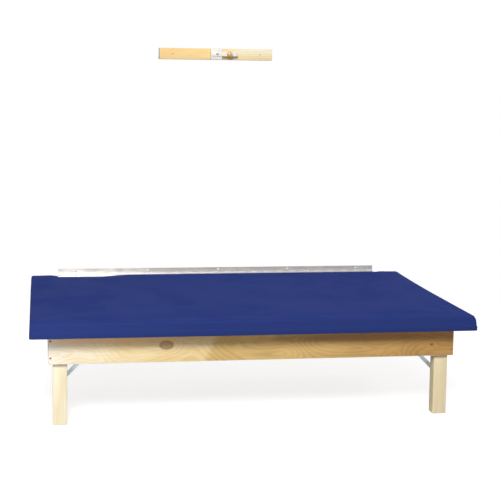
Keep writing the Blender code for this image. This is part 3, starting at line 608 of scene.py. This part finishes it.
def veneer_finish(wood):
    """Front board: peeled veneer, cream at the left, partly painted light, and tan at the right, with two knots,
    painted shade along its top and painted highlights on its arrises.
    """
    net = new_finish("veneer")
    vector = net.place()
    along, _, height = net.split(vector)
    away = {name: mark_distance(net, vector, *mark) for name, mark in VENEER_MARKS.items()}
    pull = 0.0
    for name, strength in (("knot", 4.5), ("swirl", 5.0), ("pin_knot", 3.0)):
        fall = net.calc("EXPONENT", net.times(away[name], -0.8))
        pull = net.times_plus(fall, strength, pull)
    figure, cloud = net.group("veneer_figure", vector, 19.0, pull)
    fibre = net.group("wood_fibre", vector, 700.0)[0]
    leaning = net.times_plus(height, -0.4, along)
    # The cream left end is partly painted light
    pale, brown = rgb(wood.veneer_left), rgb(wood.veneer_line)
    for share, light, dark in (
        (net.ramp(along, -1.05, -0.55), rgb(wood.veneer_field), rgb(wood.veneer_middle, 1.04)),
        (net.ramp(leaning, -0.172, -0.122), rgb(wood.veneer_middle), rgb(wood.veneer_middle, 0.66)),
        (net.ramp(along, 0.0, 0.95), rgb(wood.veneer_right), rgb(wood.veneer_right, 0.56)),
    ):
        pale = net.blend(share, pale, light)
        brown = net.blend(share, brown, dark)
    rim = net.times(net.ramp(away["knot"], 0.35, 0.85), net.fade(away["knot"], 0.95, 1.35))
    edges = ply_layers(net, Y, rgb(wood.veneer_left, 0.9), rgb(wood.veneer_right, 0.6))
    face = net.tint(
        pale,
        (cloud, 0.35, brown),
        (figure, 0.75, brown),
        (fibre, 0.16, rgb(wood.veneer_right, 0.55)),
        # Painted shade along the top of the board, where the mat's overhang shades it
        (net.fade(away["painted_shade_left"], 0.3, 1.2), 0.75, PAINTED_SHADE_LEFT_COLOUR),
        (net.fade(away["painted_shade_right"], 0.3, 1.2), 0.7, PAINTED_SHADE_RIGHT_COLOUR),
        (rim, 0.6, KNOT_RIM),
        (net.fade(away["knot"], 0.15, 1.1), 0.72, KNOT_HEART),
        (net.fade(away["pin_knot"], 0.3, 1.2), 0.85, PIN_KNOT),
        (net.mark("cut_edge"), 1.0, edges),
        # Painted highlight on the rounded arrises
        (net.mark("arris"), 0.45, rgb(wood.veneer_left, 1.1)),
    )
    relief = net.times_plus(figure, 0.4, fibre)
    net.surface(face, net.between(fibre, 0.46, 0.58), (relief, 0.10, 0.0004), Specular_IOR_Level=0.35)


def plywood_finish(name, colour, grain, thickness):
    """Plain plywood board behind the front one."""
    net = new_finish(name)
    vector = net.along_grain(grain)
    figure, cloud = net.group("veneer_figure", vector, 7.0, 0.0)
    fibre = net.group("wood_fibre", vector, 650.0)[0]
    edges = ply_layers(net, thickness, rgb(colour, 1.1), rgb(colour, 0.55))
    face = net.tint(
        rgb(colour, 1.06),
        (cloud, 1.0, rgb(colour, 0.92)),
        (figure, 0.5, rgb(colour, 0.74)),
        (fibre, 0.15, rgb(colour, 0.5)),
        (net.mark("cut_edge"), 1.0, edges),
    )
    net.surface(face, net.between(fibre, 0.52, 0.66), (fibre, 0.12, 0.0004), Specular_IOR_Level=0.3)


def pine_finish(name, colour, grain, pith, spacing=0.0042, contrast=0.34, far_colour=None):
    """Planed softwood with growth rings and painted highlights on its arrises, if asked paler at its upper right
    and on its ends.
    """
    net = new_finish(name)
    vector = net.along_grain(grain)
    rings = net.group("growth_rings", vector, pith, spacing, 0.012)[0]
    fibre = net.group("wood_fibre", vector, 800.0)[0]
    drift = net.ramp(net.noise(net.stretch(vector, (1.0, 6.0, 6.0)), 4.0), 0.3, 0.7)
    late = toned(colour, 0.84, 0.68, 0.50)
    base = net.blend(drift, rgb(colour, 1.03), rgb(toned(colour, 0.97, 0.90, 0.80)))
    end_share, end_colour = 0.30, rgb(late, 0.9)
    if far_colour:
        along, _, height = net.split(vector)
        sapwood = net.ramp(height, pith[2] + 0.11, pith[2] + 0.14, 0.45)
        base = net.tint(base, (net.ramp(along, -0.1, 0.15), sapwood, rgb(far_colour)))
        end_share, end_colour = 0.9, rgb(far_colour)
    face = net.tint(
        base,
        (rings, contrast, rgb(late)),
        (fibre, 0.12, rgb(late, 0.8)),
        (net.mark("cut_end"), end_share, end_colour),
        # Painted highlight on the rounded arrises
        (net.mark("arris"), 0.35, rgb(colour, 1.12)),
    )
    relief = net.times_plus(rings, 0.6, fibre)
    net.surface(face, net.between(fibre, 0.50, 0.64), (relief, 0.10, 0.0004), Specular_IOR_Level=0.2)


def knob_finish(colour):
    """Varnished knob, its rings turned through."""
    net = new_finish("turned_wood")
    vector = net.place()
    rings = net.group("growth_rings", vector, (0.0, -0.02, 1.20), 0.0026, 0.003)[0]
    fibre = net.group("wood_fibre", vector, 1500.0)[0]
    face = net.tint(rgb(colour, 1.1), (rings, 0.5, rgb(colour, 0.62)), (fibre, 0.2, rgb(colour, 0.5)))
    varnish = {"Coat_Weight": 0.35, "Coat_Roughness": 0.18}
    net.surface(face, net.between(fibre, 0.28, 0.40), (fibre, 0.06, 0.0003), **varnish)


def metal_finish(name, colour, roughness, fineness, metallic=1.0, grain="along", painted_glare_end=None):
    """Rolled or plated steel, with a painted reflection of the blue mat on the knuckles and, if asked, a painted
    highlight towards one end.
    """
    net = new_finish(name)
    vector = net.along_grain(grain)
    lines, patches = net.group("metal_tone", vector, fineness)
    patches_and_glare = net.blend(patches, rgb(colour, 1.05), rgb(colour, 0.90))
    # Painted highlight: the metal turns paler towards one end, as if lit there
    if painted_glare_end:
        patches_and_glare = net.blend(net.ramp(net.split(vector)[0], *painted_glare_end), rgb(colour, 1.42), patches_and_glare)
    lined = net.tint(patches_and_glare, (lines, 0.25, rgb(colour, 0.6)))
    dull = net.times_plus(patches, 0.14, roughness)
    # Painted reflection of the blue mat on the knuckles, where the rolled mark is set
    face = net.blend(net.mark("rolled"), lined, KNUCKLE_PAINTED_REFLECTION, "MULTIPLY")
    net.surface(face, net.times_plus(lines, 0.08, dull), (lines, 0.05, 0.0002), Metallic=metallic)


def paint_finish(colour):
    """Brushed white enamel, a little greyed where it is handled."""
    net = new_finish("white_paint")
    vector = net.place()
    strokes = net.group("metal_tone", vector, 500.0)[0]
    smear = net.group("handling", vector, 40.0)[0]
    arris = net.mark("arris")
    face = net.tint(rgb(colour), (smear, 0.4, rgb(colour, 0.84)), (arris, 0.3, rgb(colour, 0.8)))
    net.surface(face, net.between(strokes, 0.34, 0.46), (strokes, 0.06, 0.0003))


class MATPLATFORM_OT_finishes(Operator):
    """Make the finishes and give them to the CAD parts that stay in view"""

    bl_idname = "mat_platform.finishes"
    bl_label = "Finishes"

    def execute(self, context):
        wood, hardware = context.scene.mat_platform_wood, context.scene.mat_platform_hardware
        for group in GROUPS:
            make_group(*group)
        vinyl_finish(context.scene.mat_platform_mat)
        veneer_finish(wood)
        plywood_finish("plywood_along", wood.plywood, "along", Y)
        plywood_finish("plywood_back", wood.plywood, "back", X)
        plywood_finish("plywood_deck", wood.plywood, "flat", Z)
        # Lit and shaded copies of the pine: the legs differ partly as painted light
        pine_finish("pine_left_leg", wood.pine, "up", LEG_PITH)
        pine_finish("pine_right_leg", wood.pine_right, "up", LEG_PITH)
        pine_finish("pine_back", wood.pine, "back", (0.0, 0.03, -0.30), contrast=0.45)
        pine_finish("pine_along", wood.pine, "along", (0.0, 0.06, 0.10), contrast=0.45)
        pine_finish("pine_cleat", wood.cleat, "along", CLEAT_PITH, 0.0075, 0.5, wood.cleat_right)
        knob_finish(wood.knob)
        # The hinge's left end carries a painted highlight
        metal_finish("hinge_steel", hardware.hinge, 0.34, 900.0, 0.85, painted_glare_end=(-0.75, -0.20))
        # Near-white heads, partly a painted highlight
        metal_finish("screw_steel", SCREW_PALE_AND_GLINT, 0.25, 2500.0, 0.4)
        metal_finish("zinc_steel", hardware.zinc, 0.32, 1400.0, 0.7, "flat")
        metal_finish("dark_steel", hardware.dark, 0.42, 2000.0)
        metal_finish("bronzed_steel", hardware.bronze, 0.50, 2000.0, 0.2)
        paint_finish(hardware.paint)
        kept = {"deck_panel": "plywood_deck", "hinge_rail": "pine_along", "hinge_pin": "hinge_steel"}
        for node, finish in kept.items():
            give_finish(frame["nodes"][node], finish)
        return {"FINISHED"}


def mat_blank(mat):
    """Lip round the deck's edge, hem under it, leaning sides and a rounded top."""
    low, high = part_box("vinyl_cover")
    half, rear = high.x, high.y
    hem_drop = Vector((0.0, 0.0, mat.skin + CLEARANCE))
    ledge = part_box("deck_panel")[1].z + 2 * mat.skin
    shoulder = high.z - mat.crown - CLEARANCE - mat.edge_radius
    leaf_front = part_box("deck_hinge_leaf")[0].y
    piece = box_piece("mat_cover", low - hem_drop, (half, rear, ledge))
    with editing(piece):
        select_where(piece, "FACE", lambda face: face.normal.z < -0.9)
        bpy.ops.mesh.inset(thickness=mat.hem_width)
        bpy.ops.mesh.delete(type="FACE")
        select_where(piece, "FACE", lambda face: face.normal.z > 0.9)
        draw_up(edge_insets(mat, ledge, shoulder), half, rear, rear - low.y, ledge)
        select_where(piece, "EDGE", lambda edge: is_fold(edge, half, low.y, rear))
        bpy.ops.mesh.bevel(offset=FOLD_EASE, segments=2, affect="EDGES")
        select_where(piece, "EDGE", lambda edge: is_rear_corner(edge, half, rear))
        bpy.ops.transform.edge_crease(value=0.9)
        # The mat is 7 long for 4 deep
        for axis, cuts in ((X, mat.cells), (Y, mat.cells * 4 // 7)):
            select_where(piece, "EDGE", lambda edge: runs_along(edge, axis) and edge.calc_length() > 0.5)
            bpy.ops.mesh.subdivide(number_cuts=cuts)
        for ahead in BULGE_FRONT:
            bpy.ops.mesh.select_all(action="SELECT")
            bpy.ops.mesh.bisect(plane_co=(0.0, leaf_front - ahead, 0.0), plane_no=(0.0, 1.0, 0.0))
        select_where(piece, "FACE", lambda face: is_tuck(face, ledge, shoulder, low.y))
        bpy.ops.mesh.extrude_region_shrink_fatten(TRANSFORM_OT_shrink_fatten={"value": mat.skin})
    return piece


def edge_insets(mat, ledge, shoulder, steps=5):
    """Inset and height of each ring of the side and the rounded edge."""
    inner = mat.lip_width + mat.side_lean
    rings = [(mat.lip_width, ledge), (mat.lip_width + mat.side_lean * 0.5, (ledge + shoulder) / 2)]
    rings.append((inner, shoulder))
    for step in range(1, steps + 1):
        angle = math.pi / 2 * step / steps
        inward = inner + mat.edge_radius * (1 - math.cos(angle))
        rings.append((inward, shoulder + mat.edge_radius * math.sin(angle)))
    return rings


def draw_up(insets, half, rear, depth, height):
    """Raise the top face ring by ring, drawn in mostly at the front and ends."""
    still_y = rear - 0.1 * depth
    reach = 0.9 * depth
    last = 0.0
    for inward, level in insets:
        extrude((0.0, 0.0, level - height))
        ratio_x = (half - inward) / (half - last)
        ratio_y = (reach - inward) / (reach - last)
        bpy.ops.transform.resize(value=(ratio_x, ratio_y, 1.0), center_override=(0.0, still_y, level))
        last, height = inward, level


def is_tuck(face, ledge, shoulder, front):
    """True for the strips where the front corners are folded over."""
    middle = face.calc_center_median()
    return abs(face.normal.x) > 0.8 and ledge < middle.z < shoulder and middle.y < front + TUCK_DEPTH


def is_fold(edge, half, front, rear):
    """True for the level outer edges of the lip, where the vinyl turns over."""
    ends = [near(abs(vert.co.x), half) for vert in edge.verts]
    sides = [near(vert.co.y, front) or near(vert.co.y, rear) for vert in edge.verts]
    return all(ends) and all(sides) and near(edge.verts[0].co.z, edge.verts[1].co.z)


def is_rear_corner(edge, half, rear):
    """True for the upright edges at the rear corners, which stay square."""
    corners = [abs(vert.co.x) > half - 0.03 and vert.co.y > rear - 0.004 for vert in edge.verts]
    return all(corners) and not near(edge.verts[0].co.z, edge.verts[1].co.z)


def swell_mat(context, piece, mat):
    """Let pressure swell the cover between its lip and the hinge rail."""
    rail_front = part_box("hinge_rail")[0].y
    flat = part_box("deck_panel")[1].z + 2.5 * mat.skin
    start = [vertex.co.copy() for vertex in piece.data.vertices]
    held = piece.vertex_groups.new(name="held")
    fixed = [index for index, home in enumerate(start) if home.z < flat or home.y > rail_front]
    held.add(fixed, 1.0, "REPLACE")
    cloth = piece.modifiers.new("Swell", "CLOTH")
    cloth.settings.vertex_group_mass = held.name
    cloth.settings.use_pressure = True
    cloth.settings.uniform_pressure_force = PRESSURE
    cloth.settings.effector_weights.gravity = 0.0
    cloth.point_cache.frame_start = 1
    cloth.point_cache.frame_end = CLOTH_FRAMES
    for step in range(1, CLOTH_FRAMES + 1):
        context.scene.frame_set(step)
    make_active(piece)
    bpy.ops.object.modifier_apply(modifier=cloth.name)
    context.scene.frame_set(1)
    shape_swell(piece, mat, start, rail_front, flat)


def shape_swell(piece, mat, start, rail_front, flat):
    """Hold the swell to the crown, raise it round the hinge and stand the ends out."""
    leaf_low, leaf_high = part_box("deck_hinge_leaf")
    full = max(home.z for home in start)
    half = max(home.x for home in start)
    for vertex, home in zip(piece.data.vertices, start):
        move = vertex.co - home
        limit = mat.crown if abs(move.z) > move.xy.length else 0.3 * mat.crown
        if move.length > 0:
            move *= limit * (1 - math.exp(-move.length / limit)) / move.length
        ahead = leaf_low.y - home.y
        beyond = abs(home.x) - leaf_high.x
        at_leaf = 1 - smooth_step(beyond, 0.0, LEAF_END_RUN)
        if home.z > flat + mat.edge_radius:
            over_rail = smooth_step(home.y, rail_front - RAIL_RUN, rail_front)
            move.z = max(move.z, mat.crown * over_rail * at_leaf)
        covered = at_leaf * smooth_step(home.x, *BULGE_LEFT)
        rise = mat.bulge * covered * smooth_step(ahead, *BULGE_FRONT)
        beside = mat.end_rise * smooth_step(beyond, *END_RISE_RUN)
        fade = math.exp(-max(0.0, ahead) / BULGE_FADE)
        move.z += max(rise, beside) * fade * smooth_step(home.z, flat, full)
        at_left = smooth_step(-home.x - half, *END_BAND)
        at_right = smooth_step(home.x - half, *END_BAND) * smooth_step(-ahead, -STAND_RUN, 0.0)
        move.x += mat.stand * (at_right - at_left) * smooth_step(home.z, flat, flat + LIP_RUN)
        vertex.co = home + move


class MATPLATFORM_OT_mat(Operator):
    """Stretch the vinyl over the foam and turn it under the deck"""

    bl_idname = "mat_platform.mat"
    bl_label = "Mat"

    def execute(self, context):
        mat = context.scene.mat_platform_mat
        piece = mat_blank(mat)
        swell_mat(context, piece, mat)
        apply_modifier(piece, "SUBSURF", levels=1, render_levels=1)
        apply_modifier(piece, "SOLIDIFY", thickness=mat.skin, offset=-1.0)
        # Upward share of each face, the mask of the painted tint of top and sides
        mark_faces(piece, "upward", lambda face: max(0.0, face.normal.z))
        settle(piece, "vinyl", "vinyl_cover", "foam_core")
        make_active(piece)
        bpy.ops.object.shade_smooth()
        return {"FINISHED"}


class MATPLATFORM_OT_boards(Operator):
    """Build the plywood and pine boards under the deck"""

    bl_idname = "mat_platform.boards"
    bl_label = "Frame Boards"

    def execute(self, context):
        ease = context.scene.mat_platform_wood.ease
        board("front_board", "front_rail", "veneer", ease, X, Y)
        for node in ("rear_rail", "inner_rail"):
            board(f"{node}_board", node, "plywood_along", ease, X, Y)
        for node in ("left_end_rail", "right_end_rail"):
            board(f"{node}_board", node, "plywood_back", ease, Y, X)
        for node in ("joist_1", "joist_2", "joist_3"):
            board(f"{node}_board", node, "pine_back", ease, Y)
        board("channel_block", "channel_spacer", "pine_along", ease, X)
        return {"FINISHED"}


class MATPLATFORM_OT_legs(Operator):
    """Build the two folding legs, round at the top"""

    bl_idname = "mat_platform.legs"
    bl_label = "Legs"

    def execute(self, context):
        for side in SIDES:
            low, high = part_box(f"{side}_leg")
            piece = box_piece(f"{side}_leg_post", low, high)
            with editing(piece):
                bevel_across(piece, Z, high.z, ROUND_END * (high.x - low.x), 14)
            ease_edges(piece, context.scene.mat_platform_wood.leg_ease)
            mark_faces(piece, "cut_end", lambda face: abs(face.normal.z) > 0.7)
            mark_faces(piece, "arris", lambda face: 0.05 < abs(face.normal.y) < 0.985)
            settle(piece, f"pine_{side}_leg", f"{side}_leg")
        return {"FINISHED"}


def brace_link(node, start, far, groove):
    """Strap with round ends and a groove pressed down its front."""
    low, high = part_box(node)
    heading = math.atan2(far.z - start.z, far.x - start.x)
    length = (high.x - low.x - LINK_WIDTH) / abs(math.cos(heading))
    bpy.ops.mesh.primitive_circle_add(
        vertices=32, radius=LINK_WIDTH / 2, fill_type="NGON", rotation=FACING["front"]
    )
    piece = apply_place(name_piece(bpy.context.object, f"{node}_link"))
    with editing(piece):
        select_where(piece, "VERT", lambda vert: vert.co.x > 0.00001)
        bpy.ops.transform.translate(value=(length, 0.0, 0.0))
        bpy.ops.mesh.select_all(action="SELECT")
        extrude((0.0, high.y - low.y, 0.0))
        face_outward()
        select_where(piece, "FACE", lambda face: face.normal.y < -0.9)
        bpy.ops.mesh.inset(thickness=0.25 * LINK_WIDTH)
        bpy.ops.transform.translate(value=(0.0, groove, 0.0))
    ease_edges(piece, LINK_EASE, 2)
    put(piece, (start.x, low.y, start.z), (0.0, -heading, 0.0))
    settle(piece, "zinc_steel", node)


class MATPLATFORM_OT_braces(Operator):
    """Build the grooved links of the braces"""

    bl_idname = "mat_platform.braces"
    bl_label = "Braces"

    def execute(self, context):
        groove = context.scene.mat_platform_hardware.groove
        for side in SIDES:
            foot = JOINT_AT[f"{side}_lower_brace_turn"]
            anchor = JOINT_AT[f"{side}_upper_brace_turn"]
            brace_link(f"{side}_lower_brace", foot, anchor, groove)
            brace_link(f"{side}_upper_brace", anchor, foot, groove)
        return {"FINISHED"}


def add_knuckles(plate, hardware, pin, radius, left, first, reach):
    """Draw a tab from every second station of a leaf and roll it round the pin."""
    count = hardware.knuckles
    pitch = -2 * left / count
    way = Vector(reach).normalized()

    def is_tab(face):
        station = int((face.calc_center_median().x - left) / pitch)
        return face.normal.dot(way) > 0.9 and station % 2 == first

    with editing(plate):
        select_where(plate, "EDGE", lambda edge: runs_along(edge, X))
        bpy.ops.mesh.subdivide(number_cuts=count - 1)
        select_where(plate, "FACE", is_tab)
        extrude(reach)
    ease_edges(plate, LEAF_EASE, 1)
    bpy.ops.mesh.primitive_cylinder_add(
        vertices=20, radius=radius, depth=pitch - hardware.knuckle_gap, end_fill_type="NOTHING"
    )
    middle = (left + pitch * (first + 0.5), pin.y, pin.z)
    knuckle = put(bpy.context.object, middle, (0.0, math.pi / 2, 0.0))
    apply_modifier(knuckle, "SOLIDIFY", thickness=0.55 * radius, offset=-1.0)
    # Marks the knuckle's faces for the painted reflection of the mat
    mark_faces(knuckle, "rolled", lambda face: True)
    repeat = {"use_relative_offset": False, "use_constant_offset": True, "count": (count - first + 1) // 2}
    apply_modifier(knuckle, "ARRAY", constant_offset_displace=(2 * pitch, 0.0, 0.0), **repeat)
    join(plate, knuckle)


class MATPLATFORM_OT_hinge(Operator):
    """Build the long hinge's two leaves with their rolled knuckles"""

    bl_idname = "mat_platform.hinge"
    bl_label = "Hinge"

    def execute(self, context):
        hardware = context.scene.mat_platform_hardware
        pin_low, pin_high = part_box("hinge_pin")
        pin = (pin_low + pin_high) / 2
        low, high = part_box("wall_hinge_leaf")
        radius = pin.z - low.z
        clear = radius + hardware.knuckle_gap
        wall = box_piece("wall_leaf", (low.x, -hardware.leaf, pin.z + clear), high)
        add_knuckles(wall, hardware, pin, radius, low.x, 0, (0.0, 0.0, -clear))
        settle(wall, "hinge_steel", "wall_hinge_leaf")
        low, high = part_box("deck_hinge_leaf")
        deck = box_piece("deck_leaf", low, (high.x, pin.y - clear, low.z + hardware.leaf))
        add_knuckles(deck, hardware, pin, radius, low.x, 1, (0.0, clear, 0.0))
        settle(deck, "hinge_steel", "deck_hinge_leaf")
        return {"FINISHED"}


def measure(node, axis=Y):
    """Radius of a fastener and its length along an axis."""
    low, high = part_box(node)
    return (high.x - low.x) / 2, high[axis] - low[axis]


def add_screws(nodes, facing, finish, head, shank, recess=True):
    """Low domed heads on plain shanks, one for each node."""
    radius, length = measure(nodes[0], Z if facing == "up" else Y)
    dome = ((1.0, 0.0), (1.0, 0.35), (0.93, 0.66), (0.76, 0.88), (0.45, 1.0))
    rings = [(shank, head - length), (shank, 0.0)] + [(radius * r, head * h) for r, h in dome]
    model = turned(f"{nodes[0]}_head", rings)
    if recess:
        cut_cross(model, 0.5 * radius, 0.11 * radius, 0.55 * head, head)
    spread(model, nodes, facing, finish, head)


def add_rivets(nodes):
    """Rivet with a domed head behind and a collar between the links."""
    radius, length = measure(nodes[0])
    head = 0.2 * length
    foot = head - length
    collar = foot + 0.3 * length
    neck = 0.46 * radius
    rings = [(radius, foot), (radius, collar), (neck, collar), (neck, 0.0), (radius, 0.0)]
    rings += [(radius, 0.3 * head), (0.7 * radius, 0.85 * head), (0.35 * radius, head)]
    spread(turned(f"{nodes[0]}_head", rings), nodes, "back", "zinc_steel", head)


def add_hex_bolts(nodes):
    """Hexagon head on a washer, with a round shank."""
    radius, length = measure(nodes[0])
    head = 0.005
    washer = 0.0012
    shank = 0.005
    flat = 0.86 * radius
    rings = [(shank, head - length), (shank, 0.0), (radius, 0.0), (radius, washer), (0.6 * radius, washer)]
    model = turned(f"{nodes[0]}_head", rings)
    join(model, turned("hexagon", [(flat, washer), (flat, 0.85 * head), (0.74 * radius, head)], 6))
    spread(model, nodes, "back", "dark_steel", head)


def spread(model, nodes, facing, finish, head):
    """Copy the model to each node's place."""
    for node in nodes:
        low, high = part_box(node)
        seat = (low + high) / 2
        if facing == "up":
            seat.z = high.z - head
        else:
            seat.y = low.y + head if facing == "front" else high.y - head
        piece = model.copy()
        piece.data = model.data.copy()
        bpy.context.scene.collection.objects.link(name_piece(piece, f"{node}_fixing"))
        settle(put(piece, seat, FACING[facing]), finish, node)
    bpy.data.objects.remove(model, do_unlink=True)


class MATPLATFORM_OT_fasteners(Operator):
    """Build the screws, bolts and rivets"""

    bl_idname = "mat_platform.fasteners"
    bl_label = "Fasteners"

    def execute(self, context):
        wall, leaf = ([f"{kind}_screw_{number}" for number in range(1, 6)] for kind in ("wall", "leaf"))
        rail = [f"rail_screw_{side}_{level}" for side in SIDES for level in ("lower", "upper")]
        catch = [f"catch_screw_{side}" for side in SIDES]
        add_screws(wall[:1], "front", "zinc_steel", 0.0032, SHANK)
        add_screws(wall[1:], "front", "screw_steel", 0.0032, SHANK)
        add_screws(leaf, "up", "screw_steel", 0.0018, SHANK)
        add_screws(rail, "front", "bronzed_steel", 0.0012, SHANK)
        add_screws(catch, "front", "dark_steel", 0.0012, SHANK)
        add_screws(["latch_pivot_screw"], "front", "dark_steel", 0.0030, BOLT_SHANK)
        for bolt, facing in (("foot", "back"), ("anchor", "front")):
            bolts = [f"{side}_brace_{bolt}_bolt" for side in SIDES]
            add_screws(bolts, facing, "zinc_steel", 0.0018, BOLT_SHANK, False)
        add_rivets([f"{side}_knee_rivet" for side in SIDES])
        add_hex_bolts([f"{side}_leg_bolt" for side in SIDES])
        return {"FINISHED"}


def add_knob():
    """Mushroom knob with a beaded neck."""
    low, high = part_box("latch_knob")
    radius = (high.x - low.x) / 2
    tenon = high.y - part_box("latch_bar")[0].y
    height = high.y - low.y - tenon
    rings = [(TENON_RADIUS, -tenon), (TENON_RADIUS, 0.0)]
    rings += [(radius * r, height * h) for r, h in KNOB_SHAPE]
    middle = (low + high) / 2
    piece = turned("turned_knob", rings, 40)
    put(piece, (middle.x, high.y - tenon, middle.z), FACING["front"])
    settle(piece, "turned_wood", "latch_knob")


class MATPLATFORM_OT_catch(Operator):
    """Build the wall catch: cleat, block, turn bar and knob"""

    bl_idname = "mat_platform.catch"
    bl_label = "Catch"

    def execute(self, context):
        ease = context.scene.mat_platform_wood.ease
        board("cleat_board", "catch_cleat", "pine_cleat", ease, X)
        board("stand_off_block", "latch_block", "white_paint", BLOCK_EASE, X)
        low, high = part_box("latch_bar")
        bar = box_piece("turn_bar", low, high)
        with editing(bar):
            bevel_across(bar, X, high.x, ROUND_END * (high.z - low.z), 12)
            bevel_across(bar, X, low.x, BAR_CORNER, 3)
        ease_edges(bar, BAR_EASE, 2)
        mark_faces(bar, "arris", lambda face: 0.1 < abs(face.normal.y) < 0.9)
        settle(bar, "white_paint", "latch_bar")
        add_knob()
        return {"FINISHED"}


def add_floor():
    """Floor that keeps the shadow under the platform and fades to white around it."""
    middle = (0.0, -0.6, FLOOR_Z - 0.0005)
    bpy.ops.mesh.primitive_circle_add(vertices=64, radius=FLOOR_RADIUS, fill_type="NGON", location=middle)
    floor = bpy.context.object
    floor.name = "studio_floor"
    net = new_finish("studio_floor")
    shader = net.surface(FLOOR_GREY, 0.9, Specular_IOR_Level=0.0)
    seen = seen_rays(net)
    lift = net.add("ShaderNodeEmission", {"Color": WHITE, "Strength": net.times(seen, FLOOR_LIFT)})
    lit = net.add("ShaderNodeAddShader", {0: shader.outputs[0], 1: lift.outputs[0]})
    white = net.add("ShaderNodeEmission", {"Color": WHITE, "Strength": 1.0})
    away = net.vector_calc("LENGTH", net.place())
    far = net.times(net.ramp(away, *FLOOR_FADE), seen)
    both = net.add("ShaderNodeMixShader", {0: far, 1: lit.outputs[0], 2: white.outputs[0]})
    net.feed(net.tree.nodes["Material Output"], {"Surface": both.outputs[0]})
    give_finish(floor, "studio_floor")


def seen_rays(net):
    """1 on the rays that show the background, straight, mirrored or through glass."""
    path = net.add("ShaderNodeLightPath").outputs
    mirrored = net.calc("MAXIMUM", path["Is Glossy Ray"], path["Is Transmission Ray"])
    return net.calc("MAXIMUM", path["Is Camera Ray"], mirrored)


def add_world(context, stage):
    world = bpy.data.worlds.new("studio")
    context.scene.world = world
    world.use_nodes = True
    net = ShaderNet(world.node_tree)
    strength = net.times_plus(seen_rays(net), 1.0 - stage.ambient, stage.ambient)
    net.feed(world.node_tree.nodes["Background"], {"Color": WHITE, "Strength": strength})


def add_lamp(name, kind, place, target, size, power):
    data = bpy.data.lights.new(name, kind)
    if kind == "AREA":
        data.shape = "DISK"
        data.size = size
    else:
        data.shadow_soft_size = size
        data.spot_size = SPOT_ANGLE
        data.spot_blend = 1.0
    data.energy = power
    data.color = LAMP_COLOUR
    lamp = bpy.data.objects.new(name, data)
    bpy.context.scene.collection.objects.link(lamp)
    lamp.location = place
    lamp.rotation_euler = (Vector(target) - Vector(place)).to_track_quat("-Z", "Y").to_euler()


def add_camera(context, stage):
    data = bpy.data.cameras.new("photo_camera")
    data.lens = stage.lens
    data.sensor_width = 36.0
    data.shift_x, data.shift_y = stage.shift
    camera = bpy.data.objects.new("photo_camera", data)
    context.scene.collection.objects.link(camera)
    turn = Matrix.Rotation(-stage.heading, 4, "Z")
    turn @= Matrix.Rotation(math.pi / 2 - stage.tilt, 4, "X")
    turn @= Matrix.Rotation(-stage.roll, 4, "Z")
    camera.matrix_world = Matrix.Translation(stage.eye) @ turn
    context.scene.camera = camera


class MATPLATFORM_OT_stage(Operator):
    """Set the floor, the light and the camera"""

    bl_idname = "mat_platform.stage"
    bl_label = "Stage"

    def execute(self, context):
        stage = context.scene.mat_platform_stage
        context.scene.view_settings.view_transform = "Standard"
        add_floor()
        add_world(context, stage)
        for name, kind, place, target, size, share in LAMPS:
            add_lamp(name, kind, place, target, size, share * stage.key_power)
        bpy.data.objects["back_lamp"].visible_glossy = False
        add_camera(context, stage)
        return {"FINISHED"}


STEPS = ("finishes", "mat", "boards", "legs", "braces", "hinge", "fasteners", "catch", "stage")


class MATPLATFORM_PT_panel(Panel):
    """Steps that build the platform"""

    bl_label = "Mat Platform"
    bl_space_type = "VIEW_3D"
    bl_region_type = "UI"
    bl_category = "Mat Platform"

    def draw(self, context):
        for step in STEPS:
            self.layout.operator(f"mat_platform.{step}")


SETTINGS = {
    "mat_platform_mat": MatSettings,
    "mat_platform_wood": WoodSettings,
    "mat_platform_hardware": HardwareSettings,
    "mat_platform_stage": StageSettings,
}
CLASSES = (
    *SETTINGS.values(),
    MATPLATFORM_OT_finishes,
    MATPLATFORM_OT_mat,
    MATPLATFORM_OT_boards,
    MATPLATFORM_OT_legs,
    MATPLATFORM_OT_braces,
    MATPLATFORM_OT_hinge,
    MATPLATFORM_OT_fasteners,
    MATPLATFORM_OT_catch,
    MATPLATFORM_OT_stage,
    MATPLATFORM_PT_panel,
)


def register():
    for entry in CLASSES:
        bpy.utils.register_class(entry)
    for name, group in SETTINGS.items():
        setattr(bpy.types.Scene, name, PointerProperty(type=group))


def unregister():
    for name in SETTINGS:
        delattr(bpy.types.Scene, name)
    for entry in reversed(CLASSES):
        bpy.utils.unregister_class(entry)


def main():
    register()
    for step in STEPS:
        getattr(bpy.ops.mat_platform, step)()


if __name__ == "__main__":
    main()
